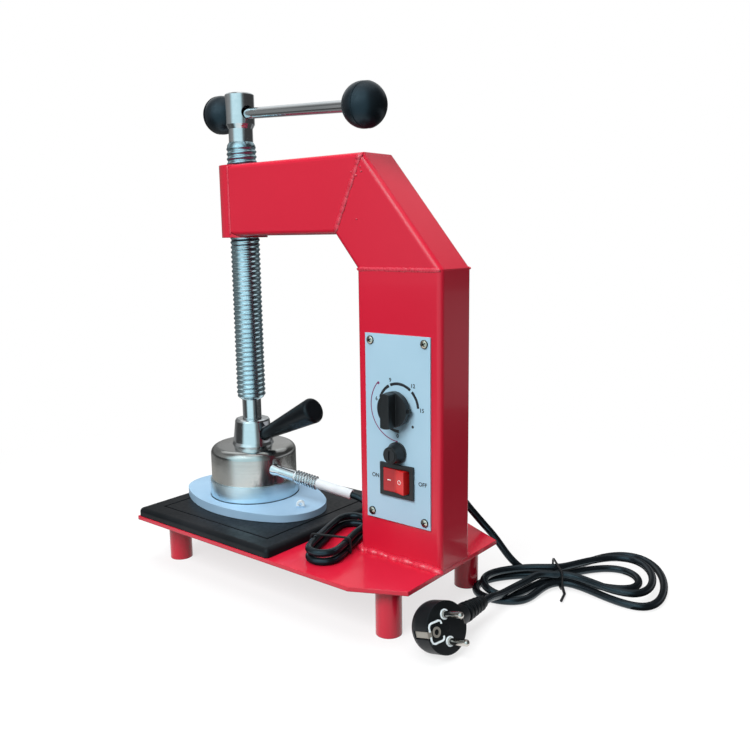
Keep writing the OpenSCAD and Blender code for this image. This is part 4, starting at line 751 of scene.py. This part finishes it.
shift = node(thread_tree, "ShaderNodeVectorMath", operation="SCALE")
link(thread_tree, outward.outputs["Vector"], shift.inputs["Vector"])
link(thread_tree, sink, shift.inputs["Scale"])
rolled = node(thread_tree, "GeometryNodeSetPosition")
link(thread_tree, given.outputs["Geometry"], rolled.inputs["Geometry"])
link(thread_tree, shift.outputs["Vector"], rolled.inputs["Offset"])
realized(thread_tree, rolled.outputs["Geometry"], given, result)

zinc = turned_finish("blue_zinc", (0.36, 0.54, 0.61), (0.48, 0.66, 0.73), (0.18, 0.25), 700, 0.012)
foot = [(0, 0), (8.8, 0), (11.2, 1.6), (12.4, 2.9)]
bar_steps = [(CREST_R, BAR_Z + BAR_STEP * i) for i in range(520)]
crown = [(12.2, 224.6), (11.0, 226.2), (10.5, LENGTH), (0, LENGTH)]
blank = turned("screw_blank", foot + bar_steps + crown, 64)
thread = grown("rolled_thread", blank.data, thread_tree, {
    "Pitch": PITCH * MM, "Depth": 1.05 * MM, "Length": LENGTH * MM, "Run Out": 5 * MM, "Material": zinc})
bpy.data.objects.remove(blank)
thread.data.transform(Matrix.Translation((SPINDLE_X, 0, SCREW_Z)))
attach(thread, "spindle")
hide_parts("spindle_screw")

head_chrome = turned_finish("head_chrome", (0.68, 0.73, 0.75), (0.80, 0.84, 0.86), (0.12, 0.20), 700, 0.012)
tree = head_chrome.node_tree
shader = tree.nodes["Principled BSDF"]
SQUEEZE = 2.2
squeezed = node(tree, "ShaderNodeMapping", {"Scale": (1, 1, SQUEEZE)})
link(tree, object_place(tree), squeezed.inputs["Vector"])
spot = node(tree, "ShaderNodeVectorMath", {1: (-0.0616, -0.0058, 0.3853 * SQUEEZE)}, operation="DISTANCE")
link(tree, squeezed.outputs["Vector"], spot.inputs[0])
ragged = node(tree, "ShaderNodeMath", {1: 0.0022}, operation="MULTIPLY_ADD")
link(tree, tree.nodes["wear"].outputs["Broad"], ragged.inputs[0])
link(tree, spot.outputs["Value"], ragged.inputs[2])
smear = node(tree, "ShaderNodeMapRange", {"From Min": 0.0030, "From Max": 0.0018})
link(tree, ragged.outputs[0], smear.inputs["Value"])
overlaid(head_chrome, smear.outputs["Result"], (0.55, 0.03, 0.05))
link(tree, sum_up(tree, "SUBTRACT", 1, smear.outputs["Result"]), shader.inputs["Metallic"])
matt = node(tree, "ShaderNodeMath", {1: 0.5}, operation="MULTIPLY_ADD")
link(tree, smear.outputs["Result"], matt.inputs[0])
link(tree, tree.nodes["roughness"].outputs["Result"], matt.inputs[2])
link(tree, matt.outputs[0], shader.inputs["Roughness"])
wear_finish(head_chrome, "spindle_head")

# Tommy bar knobs: black moulded balls screwed on the chromed bar, each with a seam round its middle.
# The moulding is glossy and slightly clouded by hands.
ball_bakelite = finish("ball_bakelite", (0.004, 0.006, 0.008), (0.008, 0.011, 0.014), (0.30, 0.36), 30, 0.01,
                       specular=0.5, sheen=(0.55, 0.82, 1))
BAR_WAY = Vector((0.981898, -0.173135, -0.076719))
BAR_MID = Vector((-71.75, 0, 396.6))
BALL_MID = 15.5


def bow(r, angle):
    return (r * math.sin(math.radians(angle)), BALL_MID - r * math.cos(math.radians(angle)))


ball = [(0, 0), (6.9, 0)] + [bow(16.5, a) for a in range(25, 104, 4)] + [(15.2, 19.3), (15.2, 20.1)]
ball += [bow(17, a) for a in range(106, 180, 4)] + [(0, 32.5)]
knobs = bmesh.new()
for reach, way in ((149.2, BAR_WAY), (-13.3, -BAR_WAY)):
    knob = turned("knob", ball, 64)
    face = BAR_MID + reach * BAR_WAY
    knob.data.transform(Matrix.Translation(face * MM) @ way.to_track_quat("Z", "Y").to_matrix().to_4x4())
    knobs.from_mesh(knob.data)
    bpy.data.objects.remove(knob)
ball_mesh = bpy.data.meshes.new("ball_knobs")
knobs.to_mesh(ball_mesh)
knobs.free()
ball_mesh.materials.append(ball_bakelite)
ball_knobs = placed("ball_knobs", ball_mesh)
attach(ball_knobs, "bar")
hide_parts("bar_knobs")

# Lead gland, spring and sleeve: the heater's lead leaves the cap through a plated gland.
# A coil spring guards a white glass-fibre sleeve wrapped on the lead.
lead_place = (Matrix.Translation((-34.83 * MM, -9.0 * MM, 87.0 * MM))
              @ Matrix.Rotation(math.radians(13), 4, "Z") @ Matrix.Rotation(math.radians(99.8), 4, "Y"))
helix_tree, given, result = tree_of("helix", [
    ("Radius", "NodeSocketFloat"), ("Pitch", "NodeSocketFloat"), ("Turns", "NodeSocketFloat"),
    ("Wire", "NodeSocketFloat"), ("Run Out", "NodeSocketFloat"), ("Steps", "NodeSocketInt"),
    ("Material", "NodeSocketMaterial")])
coil = node(helix_tree, "GeometryNodeCurveSpiral", {"Reverse": True})
for source, label in (("Steps", "Resolution"), ("Turns", "Rotations"), ("Radius", "Start Radius"),
                      ("Radius", "End Radius")):
    link(helix_tree, given.outputs[source], coil.inputs[label])
rise = sum_up(helix_tree, "MULTIPLY", given.outputs["Turns"], given.outputs["Pitch"])
link(helix_tree, rise, coil.inputs["Height"])
share = node(helix_tree, "GeometryNodeSplineParameter").outputs["Factor"]
nearest = sum_up(helix_tree, "MINIMUM", share, sum_up(helix_tree, "SUBTRACT", 1, share))
turns_in = sum_up(helix_tree, "MULTIPLY", nearest, given.outputs["Turns"])
taper = node(helix_tree, "ShaderNodeClamp", {"Min": 0.05})
link(helix_tree, sum_up(helix_tree, "DIVIDE", turns_in, given.outputs["Run Out"]), taper.inputs["Value"])
profile = node(helix_tree, "GeometryNodeCurvePrimitiveCircle", {"Resolution": 12})
link(helix_tree, given.outputs["Wire"], profile.inputs["Radius"])
sweep = node(helix_tree, "GeometryNodeCurveToMesh", {"Fill Caps": True})
link(helix_tree, coil.outputs["Curve"], sweep.inputs["Curve"])
link(helix_tree, profile.outputs["Curve"], sweep.inputs["Profile Curve"])
link(helix_tree, taper.outputs[0], sweep.inputs["Scale"])
polished = node(helix_tree, "GeometryNodeSetShadeSmooth")
link(helix_tree, sweep.outputs["Mesh"], polished.inputs["Geometry"])
realized(helix_tree, polished.outputs["Geometry"], given, result)
spring_steel = finish("spring_steel", (0.70, 0.75, 0.77), (0.82, 0.87, 0.89), (0.12, 0.20), 40, 0.02, metallic=1.0)
spring = grown("guard_spring", bpy.data.meshes.new("spring_wire"), helix_tree, {
    "Radius": 5.2 * MM, "Pitch": 2.7 * MM, "Turns": 8.0, "Wire": 0.8 * MM, "Run Out": 0.01, "Steps": 36,
    "Material": spring_steel})
spring.data.transform(lead_place @ Matrix.Translation((0, 0, 21.9 * MM)))
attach(spring, "heating_head")
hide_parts("gland_spring")

sleeve = turned("fibre_sleeve", [(3.2, 70), (3.2, 16), (4.3, 16), (4.3, 77.4), (4.0, 78), (3.2, 78), (3.2, 70)], 40)
sleeve.data.transform(lead_place)
fibre = finish("glass_fibre", (0.60, 0.66, 0.69), (0.72, 0.78, 0.81), (0.55, 0.70), 60, 0.2)
tree = fibre.node_tree
wrap = node(tree, "ShaderNodeTexWave", {"Scale": 1.0, "Distortion": 0.6}, wave_type="BANDS",
            bands_direction="DIAGONAL")
laid = node(tree, "ShaderNodeMapping", {"Scale": (340, 9, 0)})
link(tree, node(tree, "ShaderNodeUVMap", uv_map="along").outputs["UV"], laid.inputs["Vector"])
link(tree, laid.outputs["Vector"], wrap.inputs["Vector"])
link(tree, wrap.outputs["Fac"], tree.nodes["relief"].inputs["Height"])
tree.nodes["relief"].inputs["Strength"].default_value = 0.5
sleeve.data.materials.append(fibre)
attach(sleeve, "heating_head")
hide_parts("lead_sleeve")

# Control panel: sheet steel sprayed pale blue, printed in black and crimson and held by four brass-plated screws.
# The print is the timer's scale with its minutes, and the switch's two words.
PANEL_Y = -21.2
panel_paint = finish("panel_paint", (0.37, 0.57, 0.70), (0.41, 0.61, 0.74), (0.32, 0.42), 20, 0.02, edge=0.0004,
                     specular=0.35)
wear_finish(panel_paint, "control_panel")
brass_plate = finish("brass_plate", (0.50, 0.46, 0.38), (0.66, 0.62, 0.54), (0.20, 0.30), 60, 0.06, metallic=1.0)
# The screws are painted near-black where they come within about a millimetre of the panel: painted shade round and
# under their heads.
tinted_along(brass_plate, "Y", (PANEL_Y - 1.10) * MM, (PANEL_Y - 0.92) * MM, (0.02, 0.018, 0.015))
wear_finish(brass_plate, "panel_screws")
black_ink = finish("black_ink", (0.006, 0.006, 0.010), (0.014, 0.014, 0.020), (0.40, 0.55), 90, 0.1)
crimson_ink = finish("crimson_ink", (0.16, 0.02, 0.10), (0.22, 0.03, 0.12), (0.40, 0.55), 90, 0.1)


def words(text, height, x, y):
    curve = bpy.data.curves.new("letters", "FONT")
    curve.body = text
    curve.size = height * 1.42
    curve.offset = height * 0.035
    curve.align_x = "CENTER"
    curve.align_y = "CENTER"
    letters = placed("letters", curve)
    graph = bpy.context.evaluated_depsgraph_get()
    mesh = bpy.data.meshes.new_from_object(letters.evaluated_get(graph), depsgraph=graph)
    faces = [[(mesh.vertices[i].co.x + x, mesh.vertices[i].co.y + y) for i in face.vertices]
             for face in mesh.polygons]
    bpy.data.objects.remove(letters)
    return faces


def dot(x, y, r):
    return [[(x + r * math.cos(math.tau * i / 20), y + r * math.sin(math.tau * i / 20)) for i in range(20)]]


upright = Matrix.Translation((0, PANEL_Y * MM, 0)) @ Matrix.Rotation(math.radians(90), 4, "X")
DIAL = (112.9, 163.9)
scale_marks = []
for first, last in ((174, 271), (119, 160), (53, 114), (5, 47)):
    scale_marks += arc(*DIAL, 17.2, 19.4, first, last)
for text, x, z in (("6", 92.0, 168.7), ("9", 105.4, 184.4), ("12", 126.4, 181.8), ("15", 134.4, 164.2),
                   ("0", 112.0, 142.0)):
    scale_marks += words(text, 3.0, x, z)
scale_marks += dot(126.1, 150.9, 1.1)
scale_marks += words("ON", 3.1, 90.2, 107.6) + words("OFF", 3.1, 135.0, 107.6)
inlay("panel_print", scale_marks, 0.06, upright, black_ink, "frame")
inlay("range_line", arc(*DIAL, 25.9, 26.7, 139, 268, 40) + dot(94.0, 181.2, 1.1), 0.06, upright, crimson_ink,
      "frame")

# Timer knob, fuse cap and switch case: black mouldings pushed on, screwed in and snapped into the panel.
# The knob's grip bar stands on a round skirt.
black_moulding = finish("black_moulding", (0.006, 0.007, 0.008), (0.012, 0.013, 0.015), (0.30, 0.40), 40, 0.03,
                        edge=0.0006)
wear_finish(black_moulding, "timer_knob", "fuse_cap", "fuse_holder", "switch_housing", "thermostat")

# Rocker: red see-through moulding with a white bar on its pressed end and a white ring on the other.
# It turns on an axle in the switch case.
rocker_red = finish("rocker_red", (0.62, 0.010, 0.012), (0.76, 0.022, 0.020), (0.14, 0.22), 40, 0.03, coat=0.3,
                    edge=0.0005)
# The pressed end, sunk in the switch case, is painted darker red: painted shade.
tinted_along(rocker_red, "X", 0.1135, 0.1100, (0.40, 0.006, 0.010))
wear_finish(rocker_red, "rocker")
mark_white = finish("mark_white", (0.80, 0.80, 0.80), (0.88, 0.88, 0.88), (0.35, 0.45), 90, 0.05)
HALF, DEEP, DISH = 10.65, 9.2, 1.6
pivot = (Matrix.Translation((111.75 * MM, (PANEL_Y + 5) * MM, 107 * MM))
         @ Matrix.Rotation(math.radians(-7.5), 4, "Z"))
slope = math.atan2(DISH, HALF)
for side, name, shapes in ((-1, "bar_mark", [[(-1.6, -0.4), (1.6, -0.4), (1.6, 0.4), (-1.6, 0.4)]]),
                           (1, "ring_mark", arc(0, 0, 1.3, 1.9, 0, 360, 36))):
    facet = (pivot @ Matrix.Translation((side * HALF * 0.5 * MM, (DISH / 2 - DEEP) * MM, 0))
             @ Matrix.Rotation(-side * slope, 4, "Z") @ Matrix.Rotation(math.radians(90), 4, "X"))
    inlay(name, shapes, 0.05, facet, mark_white, "rocker")

# Wiring inside the column: porcelain-white timer case and terminal block, glass fuse and insulated wires.
# The grommet and the strain relief are rubber and sit in the column's walls.
porcelain = finish("pale_moulding", (0.60, 0.56, 0.47), (0.72, 0.68, 0.59), (0.40, 0.55), 30, 0.08)
wear_finish(porcelain, "timer_body", "terminal_block", "internal_wires", "fuse_tube")
soft_rubber = finish("soft_rubber", (0.006, 0.006, 0.007), (0.011, 0.011, 0.013), (0.34, 0.46), 50, 0.06,
                     edge=0.0012, specular=0.35)
wear_finish(soft_rubber, "mains_gland", "lead_grommet", "hank_tie", "lead_tie")
